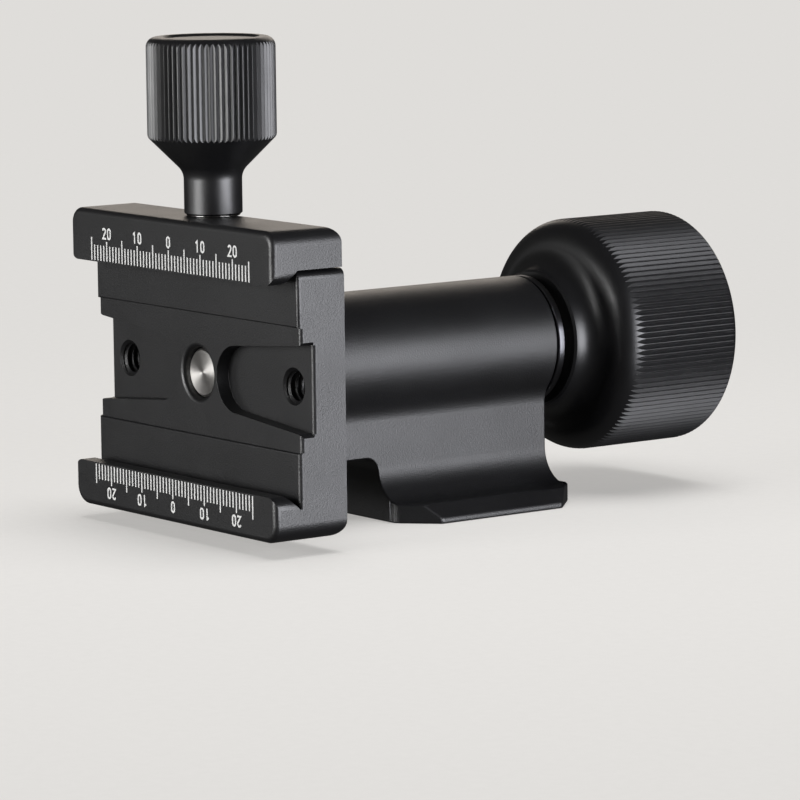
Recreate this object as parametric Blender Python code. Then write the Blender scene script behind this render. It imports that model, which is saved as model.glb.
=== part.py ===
"""Monopod gimbal head: a dovetail foot that carries a horizontal tilt shaft, a quick-release
clamp on the shaft's front end, and a large knob on its rear end that locks the tilt.

Metres, +Z up. The origin is the middle of the head's length and width, level with the
foot's bottom face. X runs along the clamp, and Y along the tilt shaft, from the clamp to
the large knob.
"""
import math

import bmesh
import bpy
from mathutils import Matrix, Vector

MM = 0.001

# Clearances, and how far a cut runs past what it cuts.
SEAT_GAP = 0.25 * MM
BORE_GAP = 0.15 * MM
CUT_OVERRUN = 1.0 * MM
EDGE_BREAK = 0.35 * MM

# Foot: a dovetail plate with cut corners and a threaded socket on the monopod's axis.
FOOT_WIDTH = 38.0 * MM
FOOT_LENGTH = 40.3 * MM
FOOT_LAND = 1.0 * MM
FOOT_SLOPE = 2.5 * MM
FOOT_CORNER_CUT = 6.3 * MM
FOOT_CORNER_ROUND = 1.5 * MM
SOCKET_RADIUS = 4.1 * MM
SOCKET_CHAMFER = 0.7 * MM
INSERT_WALL = 2.4 * MM
INSERT_LENGTH = 11.0 * MM
INSERT_SINK = 0.3 * MM

# Neck and tube: one solid with the foot, hollow for the tilt shaft.
AXIS_HEIGHT = 29.2 * MM
TUBE_RADIUS = 12.0 * MM
FRONT_OVERHANG = 23.0 * MM
REAR_LEDGE = 1.6 * MM
NECK_WIDTH = 16.0 * MM
NECK_FILLET = 3.0 * MM
FLARE_RADIUS = 6.5 * MM
OVERHANG_HEIGHT = 11.5 * MM
OVERHANG_ROUND = 2.6 * MM

# Tilt shaft, its bushes and its washers.
SHAFT_RADIUS = 5.0 * MM
FLANGE_RADIUS = 8.0 * MM
FLANGE_THICKNESS = 3.0 * MM
SPIGOT_RADIUS = 4.4 * MM
SPIGOT_SINK = 1.1 * MM
SHAFT_CHAMFER = 0.4 * MM
REAR_THREAD_RADIUS = 4.0 * MM
BUSH_WALL = 2.0 * MM
BUSH_LENGTH = 12.0 * MM
BUSH_SINK = 0.5 * MM
FRONT_WASHER_RADIUS = 11.0 * MM
FRONT_WASHER_THICKNESS = 0.8 * MM
REAR_WASHER_RADIUS = 11.6 * MM
REAR_WASHER_THICKNESS = 1.3 * MM
FRICTION_WASHER_RADIUS = 9.4 * MM
FRICTION_WASHER_THICKNESS = 1.5 * MM
DRIVE_PIN_RADIUS = 1.0 * MM
DRIVE_PIN_LENGTH = 5.0 * MM
DRIVE_PIN_PLACE = 6.4 * MM

# Clamp: the fixed jaw is one solid with the plate, the moving jaw slides on two pins.
CLAMP_LENGTH = 64.0 * MM
CLAMP_THICKNESS = 15.2 * MM
JAW_DEPTH = 5.3 * MM
LIP_DEPTH = 2.85 * MM
LIP_HALF_GAP = 18.3 * MM
FIXED_JAW_HEIGHT = 8.2 * MM
MOVING_JAW_HEIGHT = 9.45 * MM
MOVING_JAW_SETBACK = 0.4 * MM
JAW_FRONT_ROUND = 1.1 * MM
JAW_BACK_ROUND = 2.7 * MM
FIXED_CORNER_ROUND = 3.4 * MM
MOVING_CORNER_ROUND = 2.8 * MM
LIP_CORNER_ROUND = 2.3 * MM
BODY_TOP_ROUND = 1.4 * MM
BAND_HALF_HEIGHT = 10.95 * MM
BAND_DEPTH = 0.5 * MM
CENTRE_BORE_CHAMFER = 0.85 * MM

# Pockets at both ends of the clamp's face, each with a threaded hole.
POCKET_DEPTH = 3.15 * MM
POCKET_INNER_END = 5.9 * MM
POCKET_ROUND = 6.0 * MM
POCKET_SPREAD_DEG = 5.0
POCKET_MOUTH_ROUND = 1.8 * MM
SIDE_HOLE_INSET = 6.0 * MM
SIDE_HOLE_RADIUS = 2.6 * MM
SIDE_HOLE_CHAMFER = 0.75 * MM

# What moves the jaw: a screw under the small knob, two guide pins and two springs.
SCREW_PLACE = 9.8 * MM
SCREW_RADIUS = 3.0 * MM
SCREW_END_WALL = 2.0 * MM
SCREW_KNOB_DEPTH = 14.0 * MM
GUIDE_PIN_RADIUS = 1.5 * MM
GUIDE_PIN_LENGTH = 16.0 * MM
GUIDE_PIN_INSET = 10.0 * MM
GUIDE_PIN_SEAT = 5.0 * MM
GUIDE_PIN_PLAY = 0.6 * MM
SPRING_RADIUS = 2.0 * MM
SPRING_WIRE = 0.5 * MM
SPRING_PLACE = 13.0 * MM
SPRING_BODY_DEPTH = 8.5 * MM
SPRING_JAW_DEPTH = 4.0 * MM
SPRING_TURNS = 5

# Small knob, its neck and its washer.
SMALL_KNOB_RADIUS = 11.5 * MM
SMALL_KNOB_BARREL = 17.2 * MM
SMALL_KNOB_ROUND = 1.2 * MM
SMALL_KNOB_CONE_DEG = 45.0
SMALL_KNOB_FLUTES = 72
SMALL_KNOB_FLUTE_DEPTH = 0.42 * MM
SMALL_KNOB_RECESS_RADIUS = 8.2 * MM
SMALL_KNOB_RECESS_DEPTH = 0.4 * MM
NECK_RADIUS = 5.2 * MM
NECK_LENGTH = 5.5 * MM
NECK_BLEND = 3.2 * MM
JAW_WASHER_RADIUS = 5.0 * MM
JAW_WASHER_THICKNESS = 0.5 * MM

# Large knob: a bell whose concave front runs into a rounded shoulder and a fluted rim.
KNOB_RADIUS = 21.8 * MM
KNOB_LENGTH = 32.0 * MM
KNOB_FLUTES = 128
KNOB_FLUTE_DEPTH = 0.5 * MM
HUB_RADIUS = 12.5 * MM
HUB_CHAMFER = 0.4 * MM
BELL_ROUND = 6.8 * MM
SHOULDER_ROUND = 5.0 * MM
SHOULDER_DEPTH = 9.6 * MM
RIM_ROUND = 1.4 * MM
NUT_WALL = 3.8 * MM
NUT_LENGTH = 14.0 * MM
KNOB_WEB = 3.0 * MM
KNOB_REAR_BORE = 9.5 * MM
KNOB_UNSCREW = 1.0 * MM
STOP_WASHER_RADIUS = 7.5 * MM
STOP_WASHER_THICKNESS = 1.2 * MM
STOP_SCREW_RADIUS = 2.5 * MM
STOP_SCREW_LENGTH = 9.0 * MM
STOP_HEAD_RADIUS = 4.75 * MM
STOP_HEAD_HEIGHT = 2.8 * MM
STOP_HEX_RADIUS = 1.73 * MM
STOP_HEX_DEPTH = 1.6 * MM
CAP_THICKNESS = 1.6 * MM
CAP_SINK = 0.6 * MM
CAP_CHAMFER = 0.4 * MM

# How finely curves are cut into facets.
LARGE_SEGMENTS = 36
MEDIUM_SEGMENTS = 24
SMALL_SEGMENTS = 12
ARC_STEP_DEG = 30.0
TUBE_STEP_DEG = 9.0
BELL_STEP_DEG = 16.0
SMOOTH_ANGLE_DEG = 32.0
BREAK_ANGLE_DEG = 40.0

# Places that follow from the sizes above. The head's length is centred on the origin.
FRONT_STACK = SEAT_GAP + FRONT_WASHER_THICKNESS + SEAT_GAP
REAR_STACK = REAR_WASHER_THICKNESS + FRICTION_WASHER_THICKNESS + SEAT_GAP * 3
TUBE_LENGTH = FRONT_OVERHANG + FOOT_LENGTH - REAR_LEDGE
SMALL_KNOB_REACH = SMALL_KNOB_RADIUS - SCREW_PLACE
HEAD_LENGTH = (
    SMALL_KNOB_REACH + CLAMP_THICKNESS + FRONT_STACK + TUBE_LENGTH + REAR_STACK + KNOB_LENGTH
)
CLAMP_FRONT_Y = SMALL_KNOB_REACH - HEAD_LENGTH / 2
CLAMP_BACK_Y = CLAMP_FRONT_Y + CLAMP_THICKNESS
TUBE_FRONT_Y = CLAMP_BACK_Y + FRONT_STACK
TUBE_REAR_Y = TUBE_FRONT_Y + TUBE_LENGTH
REAR_WASHER_Y = TUBE_REAR_Y + SEAT_GAP
FRICTION_WASHER_Y = REAR_WASHER_Y + REAR_WASHER_THICKNESS + SEAT_GAP
KNOB_FRONT_Y = TUBE_REAR_Y + REAR_STACK
FOOT_HEIGHT = FOOT_LAND + FOOT_SLOPE
FOOT_Y = TUBE_FRONT_Y + FRONT_OVERHANG + FOOT_LENGTH / 2
BUSH_RADIUS = SHAFT_RADIUS + BORE_GAP + BUSH_WALL
INSERT_RADIUS = SOCKET_RADIUS + INSERT_WALL
JAW_SLOPE = JAW_DEPTH - LIP_DEPTH
BODY_TOP = LIP_HALF_GAP + JAW_SLOPE
CLAMP_BOTTOM = -LIP_HALF_GAP - FIXED_JAW_HEIGHT
JAW_UNDERSIDE = BODY_TOP + SEAT_GAP
JAW_LIP = LIP_HALF_GAP + SEAT_GAP
JAW_TOP = JAW_LIP + MOVING_JAW_HEIGHT
BAND_FLOOR = JAW_DEPTH + BAND_DEPTH
POCKET_FLOOR = JAW_DEPTH + POCKET_DEPTH
FLANGE_FRONT = CLAMP_THICKNESS - FLANGE_THICKNESS
SIDE_HOLE_PLACE = CLAMP_LENGTH / 2 - SIDE_HOLE_INSET
GUIDE_PIN_PLACE = CLAMP_LENGTH / 2 - GUIDE_PIN_INSET
FOOT_ORIGIN = Vector((0, FOOT_Y, 0))
CLAMP_ORIGIN = Vector((0, CLAMP_FRONT_Y, AXIS_HEIGHT))
KNOB_ORIGIN = Vector((0, KNOB_FRONT_Y, AXIS_HEIGHT))
SMALL_KNOB_BASE = JAW_TOP + SEAT_GAP + JAW_WASHER_THICKNESS + SEAT_GAP
SMALL_KNOB_ORIGIN = CLAMP_ORIGIN + Vector((0, SCREW_PLACE, SMALL_KNOB_BASE))


def clear_scene():
    for item in list(bpy.data.objects):
        bpy.data.objects.remove(item, do_unlink=True)


def finish(name, colour, roughness, metallic):
    """A plain surface: linear colour, roughness and metallic value."""
    material = bpy.data.materials.new(name)
    material.use_nodes = True
    shader = material.node_tree.nodes["Principled BSDF"]
    shader.inputs["Base Color"].default_value = (*colour, 1)
    shader.inputs["Roughness"].default_value = roughness
    shader.inputs["Metallic"].default_value = metallic
    material.diffuse_color = (*colour, 1)
    return material


def arc(centre, radius, start_deg, end_deg, step_deg=ARC_STEP_DEG):
    """Points along an arc, both ends included, no more than step_deg apart."""
    steps = max(2, math.ceil(abs(end_deg - start_deg) / step_deg))
    points = []
    for step in range(steps + 1):
        angle = math.radians(start_deg + (end_deg - start_deg) * step / steps)
        across = centre[0] + radius * math.cos(angle)
        up = centre[1] + radius * math.sin(angle)
        points.append((across, up))
    return points


def rounded(corners):
    """An outline from corners (a, b) or (a, b, radius); a radius makes that corner an arc."""
    outline = []
    count = len(corners)
    for index, corner in enumerate(corners):
        here = Vector(corner[:2])
        radius = corner[2] if len(corner) > 2 else 0
        if radius <= 0:
            outline.append(tuple(here))
            continue
        to_last = (Vector(corners[index - 1][:2]) - here).normalized()
        to_next = (Vector(corners[(index + 1) % count][:2]) - here).normalized()
        half_angle = to_last.angle(to_next) / 2
        middle = (to_last + to_next).normalized()
        centre = here + middle * (radius / math.sin(half_angle))
        first = here + to_last * (radius / math.tan(half_angle)) - centre
        last = here + to_next * (radius / math.tan(half_angle)) - centre
        turn = first.angle_signed(last)
        steps = max(2, math.ceil(abs(math.degrees(turn)) / ARC_STEP_DEG))
        start = math.atan2(first.y, first.x)
        for step in range(steps + 1):
            angle = start - turn * step / steps
            point = (centre.x + radius * math.cos(angle), centre.y + radius * math.sin(angle))
            outline.append(point)
    return outline


def mirrored(half):
    """A closed outline from its right half, listed from bottom to top."""
    return list(half) + [(-across, up) for across, up in reversed(half)]


def closed_mesh(bm):
    bmesh.ops.remove_doubles(bm, verts=bm.verts, dist=0.001 * MM)
    bmesh.ops.recalc_face_normals(bm, faces=bm.faces)
    return bm


def prism(outline, axis, start, end):
    """An outline extruded along X (outline in Y, Z), Y (in X, Z) or Z (in X, Y)."""
    place = {
        "X": lambda a, b, along: (along, a, b),
        "Y": lambda a, b, along: (a, along, b),
        "Z": lambda a, b, along: (a, b, along),
    }[axis]
    bm = bmesh.new()
    base = bm.faces.new([bm.verts.new(place(a, b, start)) for a, b in outline])
    step = Vector(place(0, 0, end - start))
    swept = bmesh.ops.extrude_face_region(bm, geom=[base])
    moved = [item for item in swept["geom"] if isinstance(item, bmesh.types.BMVert)]
    bmesh.ops.translate(bm, verts=moved, vec=step)
    return closed_mesh(bm)


def loft(outlines, ring=False):
    """Outlines of as many points each, joined one to the next; a ring joins the last to the first."""
    bm = bmesh.new()
    loops = [[bm.verts.new(point) for point in outline] for outline in outlines]
    pairs = list(zip(loops, loops[1:]))
    if ring:
        pairs.append((loops[-1], loops[0]))
    else:
        bm.faces.new(loops[0])
        bm.faces.new(loops[-1])
    for lower, upper in pairs:
        for step, corner in enumerate(lower):
            after = (step + 1) % len(lower)
            bm.faces.new((corner, lower[after], upper[after], upper[step]))
    return closed_mesh(bm)


def revolve(profile, axis, segments, ring=False):
    """A profile of (along, radius) turned about the Y or Z axis; a ring's profile is a loop."""
    outlines = []
    for along, radius in profile:
        outline = []
        for step in range(segments):
            angle = math.tau * (step + 0.5) / segments
            side = radius * math.cos(angle)
            other = radius * math.sin(angle)
            outline.append((side, along, other) if axis == "Y" else (side, other, along))
        outlines.append(outline)
    return loft(outlines, ring)


def star_prism(radius, depth, flutes, axis, start, end):
    """A prism with V flutes round its outside."""
    outline = []
    for step in range(flutes * 2):
        angle = math.pi * step / flutes
        reach = radius if step % 2 == 0 else radius - depth
        outline.append((reach * math.cos(angle), reach * math.sin(angle)))
    return prism(outline, axis, start, end)


def shifted(bm, offset):
    bmesh.ops.translate(bm, verts=bm.verts, vec=Vector(offset))
    return bm


def add_object(name, bm, origin):
    mesh = bpy.data.meshes.new(name)
    bm.to_mesh(mesh)
    bm.free()
    item = bpy.data.objects.new(name, mesh)
    bpy.context.scene.collection.objects.link(item)
    item.location = origin
    return item


def piece(name, bm, origin, material, carrier=None):
    """A finished solid: its mesh is in its own frame, its origin where its joint turns."""
    item = add_object(name, bm, origin)
    item.data.materials.append(material)
    item.data.shade_smooth()
    item.data.set_sharp_from_angle(angle=math.radians(SMOOTH_ANGLE_DEG))
    if carrier is not None:
        item.parent = carrier
        item.location = Vector(origin) - carrier.matrix_world.translation
    bpy.context.view_layer.update()
    return item


def guide(name, bm, origin):
    """A shape that only cuts or bounds another one."""
    item = add_object(name, bm, origin)
    item.hide_render = True
    item.display_type = "WIRE"
    return item


def combine(target, tool, operation):
    modifier = target.modifiers.new(tool.name, "BOOLEAN")
    modifier.operation = operation
    modifier.solver = "EXACT"
    modifier.object = tool


def cut(target, bm, name):
    origin = target.matrix_world.translation
    combine(target, guide(name, bm, origin), "DIFFERENCE")


def keep_inside(target, bm, name):
    origin = target.matrix_world.translation
    combine(target, guide(name, bm, origin), "INTERSECT")


def break_edges(target, width, segments=1):
    modifier = target.modifiers.new("edge_break", "BEVEL")
    modifier.width = width
    modifier.segments = segments
    modifier.limit_method = "ANGLE"
    modifier.angle_limit = math.radians(BREAK_ANGLE_DEG)
    modifier.use_clamp_overlap = True


def joint_frame(name, origin, carrier=None):
    """An empty on a joint's axis, which carries the pieces that move with it."""
    frame = bpy.data.objects.new(name, None)
    frame.empty_display_size = TUBE_RADIUS
    bpy.context.scene.collection.objects.link(frame)
    frame.location = origin
    if carrier is not None:
        frame.parent = carrier
        frame.location = Vector(origin) - carrier.matrix_world.translation
    bpy.context.view_layer.update()
    return frame


def washer(inner, outer, thickness, start=0):
    """A flat ring's profile."""
    return [(start, inner), (start, outer), (start + thickness, outer), (start + thickness, inner)]


def housing_outline():
    """The housing seen along the tilt shaft: tube, neck, flare and dovetail foot."""
    neck = NECK_WIDTH / 2
    foot = FOOT_WIDTH / 2
    fillet_x = neck + NECK_FILLET
    reach = TUBE_RADIUS + NECK_FILLET
    drop = math.sqrt(reach ** 2 - fillet_x ** 2)
    fillet_z = AXIS_HEIGHT - drop
    lean_deg = math.degrees(math.atan2(drop, fillet_x))
    half = [(foot, 0), (foot, FOOT_LAND), (foot - FOOT_SLOPE, FOOT_HEIGHT)]
    half += arc((neck + FLARE_RADIUS, FOOT_HEIGHT + FLARE_RADIUS), FLARE_RADIUS, 270, 180)
    half += arc((fillet_x, fillet_z), NECK_FILLET, 180, 180 - lean_deg)
    tube = arc((0, AXIS_HEIGHT), TUBE_RADIUS, -lean_deg, 90, TUBE_STEP_DEG)
    return mirrored(half + tube[1:-1])


def corner_cut(side, end):
    """What is cut off one corner of the foot, seen from above."""
    foot = FOOT_WIDTH / 2
    half_length = FOOT_LENGTH / 2
    outside_x = foot + CUT_OVERRUN
    outside_y = half_length + CUT_OVERRUN
    blend = FOOT_CORNER_ROUND * math.tan(math.radians(22.5))
    corners = [
        (outside_x, half_length - FOOT_CORNER_CUT - blend),
        (foot, half_length - FOOT_CORNER_CUT - blend),
        (foot, half_length - FOOT_CORNER_CUT, FOOT_CORNER_ROUND),
        (foot - FOOT_CORNER_CUT, half_length, FOOT_CORNER_ROUND),
        (foot - FOOT_CORNER_CUT - blend, half_length),
        (foot - FOOT_CORNER_CUT - blend, outside_y),
        (outside_x, outside_y),
    ]
    return [(side * x, end * y) for x, y in rounded(corners)]


def make_housing(material):
    """Foot, neck and tube from one profile, in the foot's frame, then cut to length."""
    foot_front = -FOOT_LENGTH / 2
    foot_rear = FOOT_LENGTH / 2
    tube_front = foot_front - FRONT_OVERHANG
    tube_rear = foot_rear - REAR_LEDGE
    bm = prism(housing_outline(), "Y", tube_front, foot_rear)
    housing = piece("housing", bm, FOOT_ORIGIN, material)
    ahead = tube_front - CUT_OVERRUN
    below = [
        (ahead, -CUT_OVERRUN),
        (foot_front, -CUT_OVERRUN),
        (foot_front, OVERHANG_HEIGHT, OVERHANG_ROUND),
        (ahead, OVERHANG_HEIGHT),
    ]
    reach = FOOT_WIDTH / 2 + CUT_OVERRUN
    cut(housing, prism(rounded(below), "X", -reach, reach), "cut_under_tube")
    top = AXIS_HEIGHT + TUBE_RADIUS + CUT_OVERRUN
    behind = [
        (tube_rear, FOOT_HEIGHT),
        (foot_rear + CUT_OVERRUN, FOOT_HEIGHT),
        (foot_rear + CUT_OVERRUN, top),
        (tube_rear, top),
    ]
    cut(housing, prism(behind, "X", -reach, reach), "cut_behind_neck")
    for side in (-1, 1):
        for end in (-1, 1):
            bm = prism(corner_cut(side, end), "Z", -CUT_OVERRUN, FOOT_HEIGHT + FLARE_RADIUS)
            cut(housing, bm, "cut_foot_corner")
    break_edges(housing, EDGE_BREAK)
    bore = BUSH_RADIUS + BORE_GAP
    bm = revolve([(ahead, bore), (tube_rear + CUT_OVERRUN, bore)], "Y", LARGE_SEGMENTS)
    cut(housing, shifted(bm, (0, 0, AXIS_HEIGHT)), "cut_tube_bore")
    seat = INSERT_RADIUS + BORE_GAP
    depth = INSERT_SINK + INSERT_LENGTH + SEAT_GAP
    profile = [(-CUT_OVERRUN, seat + EDGE_BREAK), (0, seat + EDGE_BREAK)]
    profile += [(EDGE_BREAK, seat), (depth, seat)]
    cut(housing, revolve(profile, "Z", MEDIUM_SEGMENTS), "cut_socket")
    return housing


def make_foot_insert(material):
    chamfered = SOCKET_RADIUS + SOCKET_CHAMFER
    top = INSERT_SINK + INSERT_LENGTH
    profile = [
        (INSERT_SINK, chamfered),
        (INSERT_SINK, INSERT_RADIUS),
        (top, INSERT_RADIUS),
        (top, SOCKET_RADIUS),
        (INSERT_SINK + SOCKET_CHAMFER, SOCKET_RADIUS),
    ]
    bm = revolve(profile, "Z", MEDIUM_SEGMENTS, ring=True)
    return piece("foot_thread_insert", bm, FOOT_ORIGIN, material)


def make_bush(name, start, material):
    profile = washer(SHAFT_RADIUS + BORE_GAP, BUSH_RADIUS, BUSH_LENGTH)
    bm = revolve(profile, "Y", MEDIUM_SEGMENTS, ring=True)
    return piece(name, bm, (0, start, AXIS_HEIGHT), material)


def make_shaft(material, carrier):
    """The shaft in the clamp's frame: spigot, flange, journal, thread and a tapped end."""
    journal_end = KNOB_FRONT_Y - CLAMP_FRONT_Y
    rear = journal_end + SEAT_GAP + NUT_LENGTH + KNOB_WEB
    hole = STOP_SCREW_RADIUS + BORE_GAP
    hole_start = rear - STOP_SCREW_LENGTH - SEAT_GAP
    spigot = BAND_FLOOR + SPIGOT_SINK
    profile = [
        (spigot, SPIGOT_RADIUS - SHAFT_CHAMFER),
        (spigot + SHAFT_CHAMFER, SPIGOT_RADIUS),
        (FLANGE_FRONT + SEAT_GAP, SPIGOT_RADIUS),
        (FLANGE_FRONT + SEAT_GAP, FLANGE_RADIUS),
        (CLAMP_THICKNESS, FLANGE_RADIUS),
        (CLAMP_THICKNESS, SHAFT_RADIUS),
        (journal_end - SHAFT_CHAMFER, SHAFT_RADIUS),
        (journal_end, REAR_THREAD_RADIUS),
        (rear, REAR_THREAD_RADIUS),
        (rear, hole),
        (hole_start, hole),
    ]
    bm = revolve(profile, "Y", MEDIUM_SEGMENTS)
    shaft = piece("tilt_shaft", bm, CLAMP_ORIGIN, material, carrier)
    for side in (-1, 1):
        hole = revolve(pin_hole_profile(), "Y", SMALL_SEGMENTS)
        cut(shaft, shifted(hole, (side * DRIVE_PIN_PLACE, 0, 0)), "cut_drive_pin_hole")
    return shaft


def drive_pin_start():
    return CLAMP_THICKNESS - SEAT_GAP - DRIVE_PIN_LENGTH


def pin_hole_profile():
    """The hole for a drive pin, through the flange and into the clamp's plate."""
    radius = DRIVE_PIN_RADIUS + BORE_GAP
    return [(drive_pin_start() - SEAT_GAP, radius), (CLAMP_THICKNESS + CUT_OVERRUN, radius)]


def make_drive_pin(name, side, material, carrier):
    start = drive_pin_start()
    profile = [(start, DRIVE_PIN_RADIUS), (start + DRIVE_PIN_LENGTH, DRIVE_PIN_RADIUS)]
    bm = revolve(profile, "Y", SMALL_SEGMENTS)
    shifted(bm, (side * DRIVE_PIN_PLACE, 0, 0))
    return piece(name, bm, CLAMP_ORIGIN, material, carrier)


def clamp_section():
    """The plate and its fixed jaw seen from the end, in Y and Z."""
    return rounded([
        (0, CLAMP_BOTTOM),
        (CLAMP_THICKNESS, CLAMP_BOTTOM, JAW_BACK_ROUND),
        (CLAMP_THICKNESS, BODY_TOP),
        (JAW_DEPTH, BODY_TOP),
        (JAW_DEPTH, -BODY_TOP),
        (LIP_DEPTH, -LIP_HALF_GAP),
        (0, -LIP_HALF_GAP),
    ])


def jaw_section():
    """The moving jaw seen from the end, in Y and Z."""
    back = CLAMP_THICKNESS - MOVING_JAW_SETBACK
    return rounded([
        (0, JAW_LIP),
        (LIP_DEPTH, JAW_LIP),
        (JAW_DEPTH, JAW_UNDERSIDE),
        (back, JAW_UNDERSIDE),
        (back, JAW_TOP, JAW_BACK_ROUND),
        (0, JAW_TOP),
    ])


def face_outline(bottom, bottom_round, top, top_round, inset):
    """A jaw's outline seen from the front, in X and Z, drawn in by an inset."""
    side = CLAMP_LENGTH / 2 - inset
    return rounded([
        (side, bottom + inset, bottom_round - inset),
        (side, top - inset, top_round - inset),
        (-side, top - inset, top_round - inset),
        (-side, bottom + inset, bottom_round - inset),
    ])


def soft_block(bottom, bottom_round, top, top_round):
    """A block with round corners seen from the front, whose front edge is round all the way."""
    soft = JAW_FRONT_ROUND
    steps = arc((soft, soft), soft, 270, 180) + [(0, CLAMP_THICKNESS + CUT_OVERRUN)]
    outlines = []
    for inset, depth in steps:
        outline = face_outline(bottom, bottom_round, top, top_round, inset)
        outlines.append([(x, depth, z) for x, z in outline])
    return loft(outlines)


def lip_corner(side, level, away):
    """What is cut off a lip's end where it faces the other jaw, seen from the front."""
    end = CLAMP_LENGTH / 2
    inner = end - LIP_CORNER_ROUND
    outline = [(end + CUT_OVERRUN, -LIP_CORNER_ROUND)]
    outline += arc((inner, -LIP_CORNER_ROUND), LIP_CORNER_ROUND, 0, 90)
    outline += [(inner, CUT_OVERRUN), (end + CUT_OVERRUN, CUT_OVERRUN)]
    return [(side * x, level + away * z) for x, z in outline]


def pocket_outline(side):
    """A pocket seen from the front: a round inner end, walls that spread, and a round mouth."""
    end = CLAMP_LENGTH / 2
    spread = math.radians(POCKET_SPREAD_DEG)
    apex = POCKET_INNER_END + POCKET_ROUND - POCKET_ROUND / math.sin(spread)
    mouth = (end - apex) * math.tan(spread)
    flare = mouth + POCKET_MOUTH_ROUND * 2
    outline = rounded([
        (end + CUT_OVERRUN, -flare),
        (end, -mouth, POCKET_MOUTH_ROUND),
        (apex, 0, POCKET_ROUND),
        (end, mouth, POCKET_MOUTH_ROUND),
        (end + CUT_OVERRUN, flare),
    ])
    return [(side * x, z) for x, z in outline]


def screw_hole_profile(bottom, top, radius, chamfer):
    """A hole along Z, open at the top, with its top edge chamfered."""
    return [
        (bottom, radius),
        (top - chamfer, radius),
        (top, radius + chamfer),
        (top + CUT_OVERRUN, radius + chamfer),
    ]


def make_clamp_body(material, carrier):
    side = CLAMP_LENGTH / 2
    bm = prism(clamp_section(), "X", -side - CUT_OVERRUN, side + CUT_OVERRUN)
    body = piece("clamp_body", bm, CLAMP_ORIGIN, material, carrier)
    back = CLAMP_THICKNESS + CUT_OVERRUN
    bm = soft_block(CLAMP_BOTTOM, FIXED_CORNER_ROUND, BODY_TOP, BODY_TOP_ROUND)
    keep_inside(body, bm, "clamp_block")
    for end in (-1, 1):
        bm = prism(lip_corner(end, -LIP_HALF_GAP, 1), "Y", -CUT_OVERRUN, JAW_DEPTH)
        cut(body, bm, "cut_lip_corner")
        bm = prism(pocket_outline(end), "Y", -CUT_OVERRUN, POCKET_FLOOR)
        cut(body, bm, "cut_pocket")
    break_edges(body, EDGE_BREAK)
    band = [
        (-side - CUT_OVERRUN, -BAND_HALF_HEIGHT),
        (side + CUT_OVERRUN, -BAND_HALF_HEIGHT),
        (side + CUT_OVERRUN, BAND_HALF_HEIGHT),
        (-side - CUT_OVERRUN, BAND_HALF_HEIGHT),
    ]
    cut(body, prism(band, "Y", 0, BAND_FLOOR), "cut_centre_band")
    bore = SPIGOT_RADIUS + SEAT_GAP
    flange = FLANGE_RADIUS + BORE_GAP
    profile = [
        (0, bore + CENTRE_BORE_CHAMFER),
        (BAND_FLOOR, bore + CENTRE_BORE_CHAMFER),
        (BAND_FLOOR + CENTRE_BORE_CHAMFER, bore),
        (FLANGE_FRONT, bore),
        (FLANGE_FRONT, flange),
        (back, flange),
    ]
    cut(body, revolve(profile, "Y", MEDIUM_SEGMENTS), "cut_shaft_seat")
    for hole_side in (-1, 1):
        wide = SIDE_HOLE_RADIUS + SIDE_HOLE_CHAMFER
        profile = [
            (0, wide),
            (POCKET_FLOOR, wide),
            (POCKET_FLOOR + SIDE_HOLE_CHAMFER, SIDE_HOLE_RADIUS),
            (CLAMP_THICKNESS - SIDE_HOLE_CHAMFER, SIDE_HOLE_RADIUS),
            (CLAMP_THICKNESS, wide),
            (back, wide),
        ]
        bm = revolve(profile, "Y", MEDIUM_SEGMENTS)
        cut(body, shifted(bm, (hole_side * SIDE_HOLE_PLACE, 0, 0)), "cut_side_hole")
        bm = revolve(pin_hole_profile(), "Y", SMALL_SEGMENTS)
        cut(body, shifted(bm, (hole_side * DRIVE_PIN_PLACE, 0, 0)), "cut_drive_pin_seat")
        radius = GUIDE_PIN_RADIUS + BORE_GAP
        bottom = guide_pin_bottom() - GUIDE_PIN_PLAY
        bm = revolve(screw_hole_profile(bottom, BODY_TOP, radius, EDGE_BREAK), "Z", SMALL_SEGMENTS)
        cut(body, shifted(bm, (hole_side * GUIDE_PIN_PLACE, SCREW_PLACE, 0)), "cut_guide_hole")
        radius = SPRING_RADIUS + SPRING_WIRE / 2 + SEAT_GAP
        bottom = BODY_TOP - SPRING_BODY_DEPTH
        bm = revolve([(bottom, radius), (BODY_TOP + CUT_OVERRUN, radius)], "Z", SMALL_SEGMENTS)
        cut(body, shifted(bm, (hole_side * SPRING_PLACE, SCREW_PLACE, 0)), "cut_spring_seat")
    bottom = screw_bottom() - SEAT_GAP
    profile = screw_hole_profile(bottom, BODY_TOP, SCREW_RADIUS + BORE_GAP, EDGE_BREAK)
    bm = revolve(profile, "Z", MEDIUM_SEGMENTS)
    cut(body, shifted(bm, (0, SCREW_PLACE, 0)), "cut_screw_hole")
    return body


def screw_bottom():
    """The screw's end, a wall above the shaft's flange."""
    return FLANGE_RADIUS + BORE_GAP + SCREW_END_WALL


def guide_pin_bottom():
    return JAW_UNDERSIDE + GUIDE_PIN_SEAT - GUIDE_PIN_LENGTH


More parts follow.
